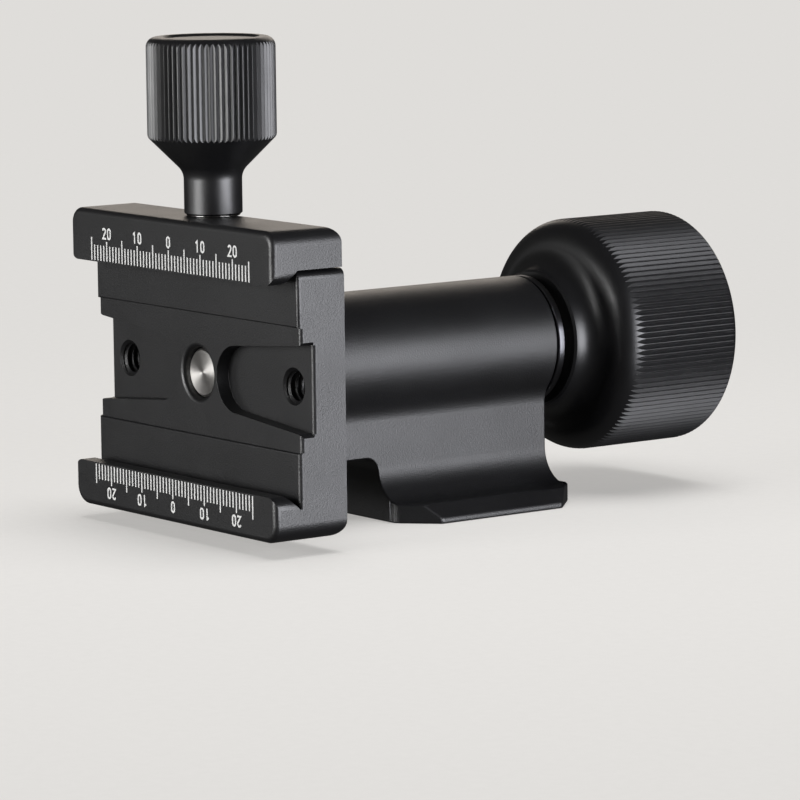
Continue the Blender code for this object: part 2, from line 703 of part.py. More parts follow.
def make_moving_jaw(material, carrier):
    side = CLAMP_LENGTH / 2
    bm = prism(jaw_section(), "X", -side - CUT_OVERRUN, side + CUT_OVERRUN)
    jaw = piece("moving_jaw", bm, CLAMP_ORIGIN, material, carrier)
    below = LIP_HALF_GAP - MOVING_CORNER_ROUND
    bm = soft_block(below, MOVING_CORNER_ROUND, JAW_TOP, MOVING_CORNER_ROUND)
    keep_inside(jaw, bm, "jaw_block")
    for end in (-1, 1):
        bm = prism(lip_corner(end, JAW_LIP, -1), "Y", -CUT_OVERRUN, JAW_DEPTH)
        cut(jaw, bm, "cut_lip_corner")
    break_edges(jaw, EDGE_BREAK)
    low = JAW_UNDERSIDE - CUT_OVERRUN
    for hole_side in (-1, 1):
        radius = GUIDE_PIN_RADIUS + BORE_GAP
        top = JAW_UNDERSIDE + GUIDE_PIN_SEAT + SEAT_GAP
        bm = revolve([(low, radius), (top, radius)], "Z", SMALL_SEGMENTS)
        cut(jaw, shifted(bm, (hole_side * GUIDE_PIN_PLACE, SCREW_PLACE, 0)), "cut_pin_seat")
        radius = SPRING_RADIUS + SPRING_WIRE / 2 + SEAT_GAP
        top = JAW_UNDERSIDE + SPRING_JAW_DEPTH
        bm = revolve([(low, radius), (top, radius)], "Z", SMALL_SEGMENTS)
        cut(jaw, shifted(bm, (hole_side * SPRING_PLACE, SCREW_PLACE, 0)), "cut_spring_top")
    profile = screw_hole_profile(low, JAW_TOP, SCREW_RADIUS + SEAT_GAP, EDGE_BREAK)
    bm = revolve(profile, "Z", MEDIUM_SEGMENTS)
    cut(jaw, shifted(bm, (0, SCREW_PLACE, 0)), "cut_screw_clearance")
    return jaw


def make_guide_pin(name, side, material, carrier):
    bottom = guide_pin_bottom()
    top = JAW_UNDERSIDE + GUIDE_PIN_SEAT
    tip = GUIDE_PIN_RADIUS - EDGE_BREAK
    profile = [(bottom, tip), (bottom + EDGE_BREAK, GUIDE_PIN_RADIUS), (top, GUIDE_PIN_RADIUS)]
    bm = revolve(profile, "Z", SMALL_SEGMENTS)
    shifted(bm, (side * GUIDE_PIN_PLACE, SCREW_PLACE, 0))
    return piece(name, bm, CLAMP_ORIGIN, material, carrier)


def make_spring(name, side, material, carrier):
    """A compression spring as one tube along a helix."""
    bottom = BODY_TOP - SPRING_BODY_DEPTH + SPRING_WIRE / 2 + SEAT_GAP
    top = JAW_UNDERSIDE + SPRING_JAW_DEPTH - SPRING_WIRE / 2 - SEAT_GAP
    points_per_turn = 8
    count = SPRING_TURNS * points_per_turn
    curve = bpy.data.curves.new(name, "CURVE")
    curve.dimensions = "3D"
    curve.bevel_depth = SPRING_WIRE / 2
    curve.bevel_resolution = 1
    curve.use_fill_caps = True
    spline = curve.splines.new("POLY")
    spline.points.add(count)
    for step in range(count + 1):
        angle = math.tau * step / points_per_turn
        x = side * SPRING_PLACE + SPRING_RADIUS * math.cos(angle)
        y = SCREW_PLACE + SPRING_RADIUS * math.sin(angle)
        spline.points[step].co = (x, y, bottom + (top - bottom) * step / count, 1)
    curve.materials.append(material)
    item = bpy.data.objects.new(name, curve)
    bpy.context.scene.collection.objects.link(item)
    item.parent = carrier
    item.location = CLAMP_ORIGIN - carrier.matrix_world.translation
    return item


def small_knob_profile():
    """The small knob from its neck's foot to its top, with a bore for the screw."""
    turn = math.radians(SMALL_KNOB_CONE_DEG)
    grow = SMALL_KNOB_RADIUS - NECK_RADIUS
    blend_side = NECK_BLEND * (1 - math.cos(turn))
    blend_rise = NECK_BLEND * math.sin(turn)
    edge_side = SMALL_KNOB_ROUND * (1 - math.cos(turn))
    edge_rise = SMALL_KNOB_ROUND * math.sin(turn)
    cone_rise = (grow - blend_side - edge_side) * math.tan(turn)
    cone_start = NECK_LENGTH + blend_rise
    barrel = cone_start + cone_rise + edge_rise
    top = barrel + SMALL_KNOB_BARREL
    outside = [(0, NECK_RADIUS - EDGE_BREAK), (EDGE_BREAK, NECK_RADIUS)]
    for radius, along in arc((NECK_RADIUS + NECK_BLEND, NECK_LENGTH), NECK_BLEND, 180,
                             180 - SMALL_KNOB_CONE_DEG):
        outside.append((along, radius))
    edge_centre = SMALL_KNOB_RADIUS - SMALL_KNOB_ROUND
    for radius, along in arc((edge_centre, barrel), SMALL_KNOB_ROUND, -SMALL_KNOB_CONE_DEG, 0):
        outside.append((along, radius))
    for radius, along in arc((edge_centre, top - SMALL_KNOB_ROUND), SMALL_KNOB_ROUND, 0, 90):
        outside.append((along, radius))
    recess = top - SMALL_KNOB_RECESS_DEPTH
    outside.append((top, SMALL_KNOB_RECESS_RADIUS))
    outside.append((recess, SMALL_KNOB_RECESS_RADIUS - SMALL_KNOB_RECESS_DEPTH))
    return outside, top


def make_small_knob(material, carrier):
    outside, top = small_knob_profile()
    segments = SMALL_KNOB_FLUTES // 2
    crest = 1 / math.cos(math.pi / segments)
    limit = SMALL_KNOB_RADIUS - SMALL_KNOB_FLUTE_DEPTH
    outside = [(along, radius * crest if radius > limit else radius) for along, radius in outside]
    bm = revolve(outside, "Z", segments)
    knob = piece("clamp_knob", bm, SMALL_KNOB_ORIGIN, material, carrier)
    bm = star_prism(SMALL_KNOB_RADIUS, SMALL_KNOB_FLUTE_DEPTH, SMALL_KNOB_FLUTES, "Z",
                    -CUT_OVERRUN, top + CUT_OVERRUN)
    keep_inside(knob, bm, "small_knob_flutes")
    bore = SCREW_RADIUS + BORE_GAP
    bm = revolve([(-CUT_OVERRUN, bore), (SCREW_KNOB_DEPTH + SEAT_GAP, bore)], "Z", MEDIUM_SEGMENTS)
    cut(knob, bm, "cut_knob_screw_seat")
    return knob


def make_clamp_screw(material, carrier):
    bottom = screw_bottom() - SMALL_KNOB_BASE
    tip = SCREW_RADIUS - EDGE_BREAK
    profile = [(bottom, tip), (bottom + EDGE_BREAK, SCREW_RADIUS), (SCREW_KNOB_DEPTH, SCREW_RADIUS)]
    bm = revolve(profile, "Z", MEDIUM_SEGMENTS)
    return piece("clamp_screw", bm, SMALL_KNOB_ORIGIN, material, carrier)


def make_jaw_washer(material, carrier):
    start = -SEAT_GAP - JAW_WASHER_THICKNESS
    profile = washer(SCREW_RADIUS + SEAT_GAP, JAW_WASHER_RADIUS, JAW_WASHER_THICKNESS, start)
    bm = revolve(profile, "Z", MEDIUM_SEGMENTS, ring=True)
    return piece("clamp_knob_washer", bm, SMALL_KNOB_ORIGIN, material, carrier)


def nut_radius():
    return REAR_THREAD_RADIUS + BORE_GAP + NUT_WALL


def web_start():
    """Where the web behind the nut starts, from the hub's face."""
    return SEAT_GAP + NUT_LENGTH + SEAT_GAP


def large_knob_outside(crest):
    """The large knob's outside from hub to rim: two arcs that meet at one slope form the bell.
    Crest makes room for the flutes."""
    rim = KNOB_RADIUS * crest
    sweep = BELL_ROUND + SHOULDER_ROUND
    lean = math.asin((BELL_ROUND + HUB_RADIUS + SHOULDER_ROUND - rim) / sweep)
    bell_y = SHOULDER_DEPTH - sweep * math.cos(lean)
    lean_deg = math.degrees(lean)
    start_deg = math.degrees(math.acos((HUB_CHAMFER - bell_y) / BELL_ROUND))
    points = arc((HUB_RADIUS + BELL_ROUND, bell_y), BELL_ROUND,
                 90 + start_deg, 90 + lean_deg, BELL_STEP_DEG)
    hub_radius = points[0][0]
    points.insert(0, (hub_radius - HUB_CHAMFER, 0))
    shoulder = arc((rim - SHOULDER_ROUND, SHOULDER_DEPTH), SHOULDER_ROUND,
                   lean_deg - 90, 0, BELL_STEP_DEG)
    points += shoulder[1:]
    points += arc((rim - RIM_ROUND, KNOB_LENGTH - RIM_ROUND), RIM_ROUND, 0, 90)
    return [(along, radius) for radius, along in points]


def large_knob_bores():
    """The large knob's inside: the nut's seat, the web and the bore behind it."""
    web = web_start()
    return [
        (-CUT_OVERRUN, nut_radius() + BORE_GAP),
        (web, nut_radius() + BORE_GAP),
        (web, REAR_THREAD_RADIUS + SEAT_GAP),
        (web + KNOB_WEB, REAR_THREAD_RADIUS + SEAT_GAP),
        (web + KNOB_WEB, KNOB_REAR_BORE),
        (KNOB_LENGTH - CAP_CHAMFER, KNOB_REAR_BORE),
        (KNOB_LENGTH, KNOB_REAR_BORE + CAP_CHAMFER),
        (KNOB_LENGTH + CUT_OVERRUN, KNOB_REAR_BORE + CAP_CHAMFER),
    ]


def make_large_knob(material, carrier):
    segments = KNOB_FLUTES // 2
    crest = 1 / math.cos(math.pi / segments)
    bm = revolve(large_knob_outside(crest), "Y", segments)
    knob = piece("tilt_knob", bm, KNOB_ORIGIN, material, carrier)
    bm = star_prism(KNOB_RADIUS, KNOB_FLUTE_DEPTH, KNOB_FLUTES, "Y",
                    -CUT_OVERRUN, KNOB_LENGTH + CUT_OVERRUN)
    keep_inside(knob, bm, "large_knob_flutes")
    cut(knob, revolve(large_knob_bores(), "Y", MEDIUM_SEGMENTS), "cut_knob_bores")
    return knob


def make_knob_nut(material, carrier):
    profile = washer(REAR_THREAD_RADIUS + BORE_GAP, nut_radius(), NUT_LENGTH, SEAT_GAP)
    bm = revolve(profile, "Y", MEDIUM_SEGMENTS, ring=True)
    return piece("knob_thread_insert", bm, KNOB_ORIGIN, material, carrier)


def make_knob_cap(material, carrier):
    """The disc that closes the large knob's rear bore, a little below its rim."""
    rear = KNOB_LENGTH - CAP_SINK
    radius = KNOB_REAR_BORE - SEAT_GAP
    profile = [(rear - CAP_THICKNESS, radius), (rear - CAP_CHAMFER, radius)]
    profile.append((rear, radius - CAP_CHAMFER))
    bm = revolve(profile, "Y", MEDIUM_SEGMENTS)
    return piece("knob_end_cap", bm, KNOB_ORIGIN, material, carrier)


def stop_washer_start():
    """The stop washer stands off the knob's web by the way that the knob unscrews."""
    return web_start() + KNOB_WEB + KNOB_UNSCREW + SEAT_GAP


def make_stop_washer(material, carrier):
    inner = STOP_SCREW_RADIUS + BORE_GAP
    profile = washer(inner, STOP_WASHER_RADIUS, STOP_WASHER_THICKNESS, stop_washer_start())
    bm = revolve(profile, "Y", MEDIUM_SEGMENTS, ring=True)
    return piece("knob_stop_washer", bm, KNOB_ORIGIN, material, carrier)


def make_stop_screw(material, carrier):
    head = stop_washer_start() + STOP_WASHER_THICKNESS + SEAT_GAP
    shaft_end = web_start() + KNOB_WEB
    tip = shaft_end - STOP_SCREW_LENGTH
    rear = head + STOP_HEAD_HEIGHT
    profile = [
        (tip, STOP_SCREW_RADIUS),
        (head, STOP_SCREW_RADIUS),
        (head, STOP_HEAD_RADIUS),
        (rear - STOP_HEAD_HEIGHT / 2, STOP_HEAD_RADIUS),
        (rear, STOP_HEAD_RADIUS - STOP_HEAD_HEIGHT / 2),
    ]
    bm = revolve(profile, "Y", MEDIUM_SEGMENTS)
    screw = piece("knob_stop_screw", bm, KNOB_ORIGIN, material, carrier)
    hexagon = revolve([(rear - STOP_HEX_DEPTH, STOP_HEX_RADIUS), (rear + CUT_OVERRUN, STOP_HEX_RADIUS)],
                      "Y", 6)
    cut(screw, hexagon, "cut_stop_screw_hex")
    return screw


def make_ring(name, y, inner, outer, thickness, material, carrier=None):
    bm = revolve(washer(inner, outer, thickness), "Y", MEDIUM_SEGMENTS, ring=True)
    return piece(name, bm, (0, y, AXIS_HEIGHT), material, carrier)


def build():
    clear_scene()
    black = finish("black_anodised_aluminium", (0.016, 0.016, 0.017), 0.42, 1.0)
    stainless = finish("stainless_steel", (0.62, 0.61, 0.59), 0.25, 1.0)
    hardened = finish("black_oxide_steel", (0.02, 0.02, 0.021), 0.22, 1.0)
    bronze = finish("sintered_bronze", (0.45, 0.27, 0.12), 0.5, 1.0)
    acetal = finish("dark_acetal", (0.04, 0.03, 0.025), 0.5, 0.0)
    spring_steel = finish("spring_steel", (0.5, 0.5, 0.5), 0.3, 1.0)

    tilt = joint_frame("tilt_axis", CLAMP_ORIGIN)
    jaw_frame = joint_frame("jaw_slide_frame", CLAMP_ORIGIN, tilt)
    small_frame = joint_frame("clamp_knob_axis", SMALL_KNOB_ORIGIN, jaw_frame)
    thrust = joint_frame("thrust_frame", KNOB_ORIGIN, tilt)
    large_frame = joint_frame("tilt_knob_axis", KNOB_ORIGIN, thrust)

    make_housing(black)
    make_foot_insert(stainless)
    make_bush("front_bush", TUBE_FRONT_Y + BUSH_SINK, bronze)
    make_bush("rear_bush", TUBE_REAR_Y - BUSH_SINK - BUSH_LENGTH, bronze)
    ring_bore = SHAFT_RADIUS + SEAT_GAP
    make_ring("front_thrust_washer", CLAMP_BACK_Y + SEAT_GAP, ring_bore, FRONT_WASHER_RADIUS,
              FRONT_WASHER_THICKNESS, acetal)

    make_shaft(stainless, tilt)
    make_clamp_body(black, tilt)
    for name, side in (("left", -1), ("right", 1)):
        make_drive_pin("drive_pin_" + name, side, stainless, tilt)
        make_spring("jaw_spring_" + name, side, spring_steel, tilt)
        make_guide_pin("guide_pin_" + name, side, stainless, jaw_frame)
    make_stop_washer(stainless, tilt)
    make_stop_screw(hardened, tilt)

    make_moving_jaw(black, jaw_frame)
    make_jaw_washer(stainless, small_frame)
    make_small_knob(black, small_frame)
    make_clamp_screw(stainless, small_frame)

    make_ring("rear_thrust_washer", REAR_WASHER_Y, ring_bore, REAR_WASHER_RADIUS,
              REAR_WASHER_THICKNESS, hardened, thrust)
    make_ring("friction_washer", FRICTION_WASHER_Y, ring_bore, FRICTION_WASHER_RADIUS,
              FRICTION_WASHER_THICKNESS, acetal, thrust)
    make_large_knob(black, large_frame)
    make_knob_nut(stainless, large_frame)
    make_knob_cap(black, large_frame)


build()
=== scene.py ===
import math

import bpy
from mathutils import Matrix, Vector


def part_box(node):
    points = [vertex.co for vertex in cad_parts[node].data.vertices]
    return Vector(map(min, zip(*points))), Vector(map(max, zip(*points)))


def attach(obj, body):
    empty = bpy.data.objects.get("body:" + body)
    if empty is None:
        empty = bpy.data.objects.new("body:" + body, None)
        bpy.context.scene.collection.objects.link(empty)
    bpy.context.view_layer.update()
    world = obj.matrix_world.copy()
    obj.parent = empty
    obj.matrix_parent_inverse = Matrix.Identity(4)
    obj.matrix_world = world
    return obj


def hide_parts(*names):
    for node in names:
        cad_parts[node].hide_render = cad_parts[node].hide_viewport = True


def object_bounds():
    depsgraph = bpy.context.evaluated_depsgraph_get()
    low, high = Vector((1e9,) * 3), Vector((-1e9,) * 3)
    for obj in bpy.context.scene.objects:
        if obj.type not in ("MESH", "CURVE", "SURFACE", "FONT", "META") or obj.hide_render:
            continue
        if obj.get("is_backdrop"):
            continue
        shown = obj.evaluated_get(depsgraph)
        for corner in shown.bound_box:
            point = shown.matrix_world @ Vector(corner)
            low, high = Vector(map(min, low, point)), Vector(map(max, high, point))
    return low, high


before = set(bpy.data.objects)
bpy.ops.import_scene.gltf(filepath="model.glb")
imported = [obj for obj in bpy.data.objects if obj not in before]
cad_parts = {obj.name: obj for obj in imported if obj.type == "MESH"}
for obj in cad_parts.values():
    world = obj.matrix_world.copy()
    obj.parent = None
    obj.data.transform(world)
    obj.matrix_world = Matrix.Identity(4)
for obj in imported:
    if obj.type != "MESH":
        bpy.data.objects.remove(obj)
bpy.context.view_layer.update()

# Camera. A long lens a little above the tilt shaft, looking along the clamp's right end and
# the tube, with the picture's centre between the clamp and the large knob.
MM = 0.001
SENSOR_MM = 36.0
IMAGE_PX = 800
FOCAL_PX = 4695.0
VIEW_AZIMUTH_DEG = 53.61
VIEW_PITCH_DEG = 7.86
VIEW_ROLL_DEG = -0.69
VIEW_DISTANCE = 848.04 * MM
NEAREST_SEEN = 10 * MM
FARTHEST_SEEN = 10000 * MM
AIM_DEPTH = 25.0 * MM
AIM_PX = Vector((285.86, 363.87))
axis_z = sum(corner.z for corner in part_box("tilt_knob")) / 2
clamp_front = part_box("clamp_body")[0].y
azimuth = math.radians(VIEW_AZIMUTH_DEG)
pitch = math.radians(VIEW_PITCH_DEG)
roll = math.radians(VIEW_ROLL_DEG)
view_back = Vector((
    math.sin(azimuth) * math.cos(pitch),
    -math.cos(azimuth) * math.cos(pitch),
    math.sin(pitch),
))
level_right = Vector((math.cos(azimuth), math.sin(azimuth), 0))
level_up = view_back.cross(level_right)
view_right = level_right * math.cos(roll) + level_up * math.sin(roll)
view_up = level_up * math.cos(roll) - level_right * math.sin(roll)
aim_right = (AIM_PX.x - IMAGE_PX / 2) / FOCAL_PX * VIEW_DISTANCE
aim_up = (IMAGE_PX / 2 - AIM_PX.y) / FOCAL_PX * VIEW_DISTANCE
aim = Vector((0, clamp_front + AIM_DEPTH, axis_z))
bpy.ops.object.select_all(action="DESELECT")
bpy.ops.object.camera_add()
camera = bpy.context.object
camera.name = "camera"
camera.data.sensor_width = SENSOR_MM
camera.data.lens = FOCAL_PX / IMAGE_PX * SENSOR_MM
camera.data.clip_start = NEAREST_SEEN
camera.data.clip_end = FARTHEST_SEEN
camera_turn = Matrix((view_right, view_up, view_back)).transposed()
camera.matrix_world = Matrix.Translation(
    aim - view_right * aim_right - view_up * aim_up + view_back * VIEW_DISTANCE
) @ camera_turn.to_4x4()
bpy.context.scene.camera = camera
bpy.context.scene.view_settings.view_transform = "Standard"


# Studio. A roll of pale paper that the camera sees almost evenly bright, with the head's soft
# shadow on it. Two large soft boxes, at the clamp's right end and in front of its face, draw
# the broad highlights; two weak ones fill, and the room is dark, as the blacks show.
def linear(hex_colour):
    """An sRGB hex colour as linear red, green, blue and alpha."""
    channels = []
    for start in (1, 3, 5):
        value = int(hex_colour[start:start + 2], 16) / 255
        channels.append(value / 12.92 if value <= 0.04045 else ((value + 0.055) / 1.055) ** 2.4)
    return (*channels, 1)


def add_node(tree, kind, settings=None, inputs=None):
    """Adds a node; inputs are values, or sockets of other nodes to link."""
    node = tree.nodes.new(kind)
    for key, value in (settings or {}).items():
        setattr(node, key, value)
    for key, value in (inputs or {}).items():
        if isinstance(value, bpy.types.NodeSocket):
            tree.links.new(value, node.inputs[key])
        else:
            node.inputs[key].default_value = value
    return node


def new_material(name):
    """A material, its empty node tree, and the point of the object that patterns go by."""
    material = bpy.data.materials.new(name)
    material.use_nodes = True
    tree = material.node_tree
    tree.nodes.clear()
    return material, tree, add_node(tree, "ShaderNodeTexCoord").outputs["Object"]


PAPER_SIZE = 8.0
PAPER_HEX = "#dfddda"
PAPER_FIBRE = 2.0 * MM
SHADOW_REACH = 0.35
SHADOW_SHARE = 0.5

# Pale matt paper, seen by the camera alone. Near the head it takes the lamps' light and the
# soft shadow; farther out it turns to an even tone.
studio_paper, tree, place = new_material("pale_studio_paper")
fibre = add_node(tree, "ShaderNodeTexNoise", inputs={
    "Vector": place, "Scale": 1 / PAPER_FIBRE, "Detail": 3.0,
})
tint = add_node(tree, "ShaderNodeMix", {"data_type": "RGBA"}, {
    0: fibre.outputs[0], 6: linear("#dddbd8"), 7: linear("#e1dfdc"),
})
distance = add_node(tree, "ShaderNodeVectorMath", {"operation": "LENGTH"}, {0: place})
share = add_node(tree, "ShaderNodeMapRange", {"interpolation_type": "SMOOTHSTEP"}, {
    "Value": distance.outputs["Value"], 1: 0.0, 2: SHADOW_REACH, 3: 1 - SHADOW_SHARE, 4: 1.0,
})
matt = add_node(tree, "ShaderNodeBsdfDiffuse", inputs={"Color": tint.outputs[2]})
even = add_node(tree, "ShaderNodeEmission", inputs={"Color": tint.outputs[2]})
seen = add_node(tree, "ShaderNodeMixShader",
                inputs={0: share.outputs[0], 1: matt.outputs[0], 2: even.outputs[0]})
unseen = add_node(tree, "ShaderNodeBsdfTransparent")
ray = add_node(tree, "ShaderNodeLightPath")
paper = add_node(tree, "ShaderNodeMixShader", inputs={
    0: ray.outputs["Is Camera Ray"], 1: unseen.outputs[0], 2: seen.outputs[0],
})
add_node(tree, "ShaderNodeOutputMaterial", inputs={"Surface": paper.outputs[0]})
bpy.ops.mesh.primitive_plane_add(size=PAPER_SIZE)
floor = bpy.context.object
floor.name = "floor"
floor.data.materials.append(studio_paper)
floor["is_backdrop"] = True

ROOM_STRENGTH = 0.065
room = bpy.data.worlds.new("soft_room")
bpy.context.scene.world = room
room.use_nodes = True
tree = room.node_tree
tree.nodes.clear()
ambient = add_node(tree, "ShaderNodeBackground",
                   inputs={"Color": linear("#e6e4e1"), "Strength": ROOM_STRENGTH})
shown = add_node(tree, "ShaderNodeBackground", inputs={"Color": linear(PAPER_HEX)})
ray = add_node(tree, "ShaderNodeLightPath")
mixed = add_node(tree, "ShaderNodeMixShader", inputs={
    0: ray.outputs["Is Camera Ray"], 1: ambient.outputs[0], 2: shown.outputs[0],
})
add_node(tree, "ShaderNodeOutputWorld", inputs={"Surface": mixed.outputs[0]})


def soft_box(name, place, width, height, power, colour="#ffffff"):
    """A rectangular area lamp at a place, turned towards the head."""
    bpy.ops.object.select_all(action="DESELECT")
    bpy.ops.object.light_add(type="AREA", location=place)
    lamp = bpy.context.object
    lamp.name = name
    lamp.data.shape = "RECTANGLE"
    lamp.data.size = width
    lamp.data.size_y = height
    lamp.data.energy = power
    lamp.data.color = linear(colour)[:3]
    direction = Vector((0, 0, axis_z)) - Vector(place)
    lamp.rotation_euler = direction.to_track_quat("-Z", "Y").to_euler()
    return lamp


soft_box("right_soft_box", (0.97, 0.25, 0.04), 0.75, 0.7, 12.2, "#f8f9ff")
soft_box("front_soft_box", (-0.09, -0.98, 0.17), 0.5, 0.5, 8.5)
soft_box("disc_soft_box", (-0.62, -0.78, 0.06), 0.35, 0.35, 0.36)
soft_box("rear_soft_box", (-0.70, 0.60, 0.38), 0.6, 0.35, 1.1, "#fff4e8")
# This lamp lights the paper from above and isn't mirrored in the head.
paper_light = soft_box("paper_soft_box", (0.1, 0.1, 1.2), 0.8, 0.8, 14.0)
paper_light.visible_glossy = False


# Housing. Foot, neck and tube are milled and turned from one aluminium block, then bead
# blasted and anodised black. The foot is a dovetail with cut corners, and the tube holds
# the tilt shaft in two bushes.
ORIGIN = Vector((0, 0, 0))
LINES = {"X": Vector((1, 0, 0)), "Y": Vector((0, 1, 0)), "Z": Vector((0, 0, 1))}
WELD = 0.0005 * MM


def arc(centre, radius, start_deg, end_deg, step_deg=4.0):
    """Points along an arc, both ends included."""
    steps = max(2, math.ceil(abs(end_deg - start_deg) / step_deg))
    points = []
    for step in range(steps + 1):
        angle = math.radians(start_deg + (end_deg - start_deg) * step / steps)
        points.append(Vector(centre) + Vector((math.cos(angle), math.sin(angle))) * radius)
    return points


def rounded(corners, step_deg=6.0):
    """An outline from corners (a, b) or (a, b, radius); a radius makes that corner an arc."""
    outline = []
    count = len(corners)
    for index, corner in enumerate(corners):
        here = Vector(corner[:2])
        radius = corner[2] if len(corner) > 2 else 0
        if radius <= 0:
            outline.append(here)
            continue
        to_last = (Vector(corners[index - 1][:2]) - here).normalized()
        to_next = (Vector(corners[(index + 1) % count][:2]) - here).normalized()
        half_angle = to_last.angle(to_next) / 2
        centre = here + (to_last + to_next).normalized() * (radius / math.sin(half_angle))
        first = here + to_last * (radius / math.tan(half_angle)) - centre
        last = here + to_next * (radius / math.tan(half_angle)) - centre
        turn = first.angle_signed(last)
        steps = max(2, math.ceil(abs(math.degrees(turn)) / step_deg))
        start = math.atan2(first.y, first.x)
        for step in range(steps + 1):
            angle = start - turn * step / steps
            outline.append(centre + Vector((math.cos(angle), math.sin(angle))) * radius)
    return outline


def only(piece):
    """Makes a piece the only selected and active one."""
    bpy.ops.object.select_all(action="DESELECT")
    piece.select_set(True)
    bpy.context.view_layer.objects.active = piece


def drawn_wire(name, points):
    """Draws a wire by extruding one vertex from point to point; leaves it in edit mode."""
    bpy.ops.object.select_all(action="DESELECT")
    bpy.ops.mesh.primitive_plane_add(size=MM)
    wire = bpy.context.object
    wire.name = name
    bpy.ops.object.mode_set(mode="EDIT")
    bpy.ops.mesh.select_mode(type="VERT")
    bpy.ops.mesh.merge(type="CENTER")
    bpy.ops.transform.translate(value=points[0])
    for start, end in zip(points, points[1:]):
        bpy.ops.mesh.extrude_region_move(TRANSFORM_OT_translate={"value": end - start})
    bpy.ops.mesh.select_all(action="SELECT")
    return wire


def close_solid():
    """Turns every face of the solid being edited outwards, and ends editing."""
    bpy.ops.mesh.select_all(action="SELECT")
    bpy.ops.mesh.normals_make_consistent(inside=False)
    bpy.ops.object.mode_set(mode="OBJECT")


def extruded(name, outline, axis, start, end, origin=ORIGIN):
    """A closed outline drawn across an axis, filled, and extruded along it."""
    across = {"X": ("Y", "Z"), "Y": ("X", "Z"), "Z": ("X", "Y")}[axis]
    first = Vector(origin) + LINES[axis] * start
    points = [first + LINES[across[0]] * a + LINES[across[1]] * b for a, b in outline]
    block = drawn_wire(name, points)
    bpy.ops.mesh.edge_face_add()
    length = LINES[axis] * (end - start)
    bpy.ops.mesh.extrude_region_move(TRANSFORM_OT_translate={"value": length})
    close_solid()
    return block


def turned(name, profile, axis, centre, segments=128):
    """A profile of (along, radius) drawn beside an axis through a centre and spun round it."""
    points = [
        Vector(centre) + LINES[axis] * along + LINES["X"] * radius
        for along, radius in profile
    ]
    if profile[0][1] > 0:
        points.append(points[0])
    solid = drawn_wire(name, points)
    bpy.ops.mesh.spin(steps=segments, angle=math.tau, center=centre, axis=LINES[axis])
    bpy.ops.mesh.select_all(action="SELECT")
    bpy.ops.mesh.remove_doubles(threshold=WELD)
    close_solid()
    return solid


def bored(name, profile, axis, centre, segments=96):
    """What a bore takes away: a profile of (along, radius) closed to the axis at both ends."""
    ends = [(profile[0][0], 0)] + list(profile) + [(profile[-1][0], 0)]
    return turned(name, ends, axis, centre, segments)


def use_modifier(piece, kind, **settings):
    """Adds a modifier with its settings and applies it."""
    only(piece)
    modifier = piece.modifiers.new(kind.lower(), kind)
    for key, value in settings.items():
        setattr(modifier, key, value)
    bpy.ops.object.modifier_apply(modifier=modifier.name)


def cut(piece, tool, operation="DIFFERENCE"):
    """Cuts a piece with a tool, or keeps what is inside it, and removes the tool."""
    use_modifier(piece, "BOOLEAN", operation=operation, solver="EXACT", object=tool)
    bpy.data.objects.remove(tool)


def break_edges(piece, width, angle_deg=35.0, segments=3, keep_apart=True):
    """Rounds every sharp edge; keep_apart makes all rounds smaller where two would meet."""
    use_modifier(piece, "BEVEL", width=width, segments=segments, limit_method="ANGLE",
                 angle_limit=math.radians(angle_deg), use_clamp_overlap=keep_apart)


def finish_piece(piece, body, material, nodes=(), smooth_deg=35.0):
    """Shades a finished piece, gives it its material, and puts it on its body."""
    only(piece)
    bpy.ops.object.transform_apply(location=True, rotation=True, scale=True)
    bpy.ops.object.shade_smooth_by_angle(angle=math.radians(smooth_deg))
    use_modifier(piece, "WEIGHTED_NORMAL", keep_sharp=True, weight=50)
    piece.data.materials.clear()
    piece.data.materials.append(material)
    if nodes:
        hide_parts(*nodes)
    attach(piece, body)
    return piece


# Bead-blasted black anodised aluminium: near black, with a soft broad sheen and a fine
# even grain from the blasting, drawn three times too coarse so that it shows. The sealed
# oxide reflects more than plain plastic or paint, hence its index.
BLAST_GRAIN = 0.28 * MM
ALUMINA_IOR = 1.7
HANDLING_PATCH = 40


def anodised_aluminium(name, roughness, grain, bump):
    """Black anodised aluminium: a grain of one size, and dullness that varies in patches."""
    material, tree, place = new_material(name)
    fine = add_node(tree, "ShaderNodeTexNoise", inputs={
        "Vector": place, "Scale": 1 / grain, "Detail": 2.0, "Roughness": 0.6,
    })
    broad = add_node(tree, "ShaderNodeTexNoise", inputs={
        "Vector": place, "Scale": 1 / (grain * HANDLING_PATCH), "Detail": 3.0,
    })
    dull = add_node(tree, "ShaderNodeMapRange", inputs={
        "Value": broad.outputs[0], 1: 0.3, 2: 0.7, 3: roughness - 0.02, 4: roughness + 0.03,
    })
    shade = add_node(tree, "ShaderNodeMix", {"data_type": "RGBA"}, {
        0: fine.outputs[0], 6: linear("#070708"), 7: linear("#101012"),
    })
    raised = add_node(tree, "ShaderNodeBump", inputs={
        "Strength": bump, "Distance": grain * 0.2, "Height": fine.outputs[0],
    })
    shader = add_node(tree, "ShaderNodeBsdfPrincipled", inputs={
        "Base Color": shade.outputs[2],
        "Roughness": dull.outputs[0],
        "IOR": ALUMINA_IOR,
        "Normal": raised.outputs[0],
    })
    add_node(tree, "ShaderNodeOutputMaterial", inputs={"Surface": shader.outputs[0]})
    return material


blasted_black = anodised_aluminium("bead_blasted_black_anodised_aluminium", 0.40,
                                   BLAST_GRAIN, 0.75)

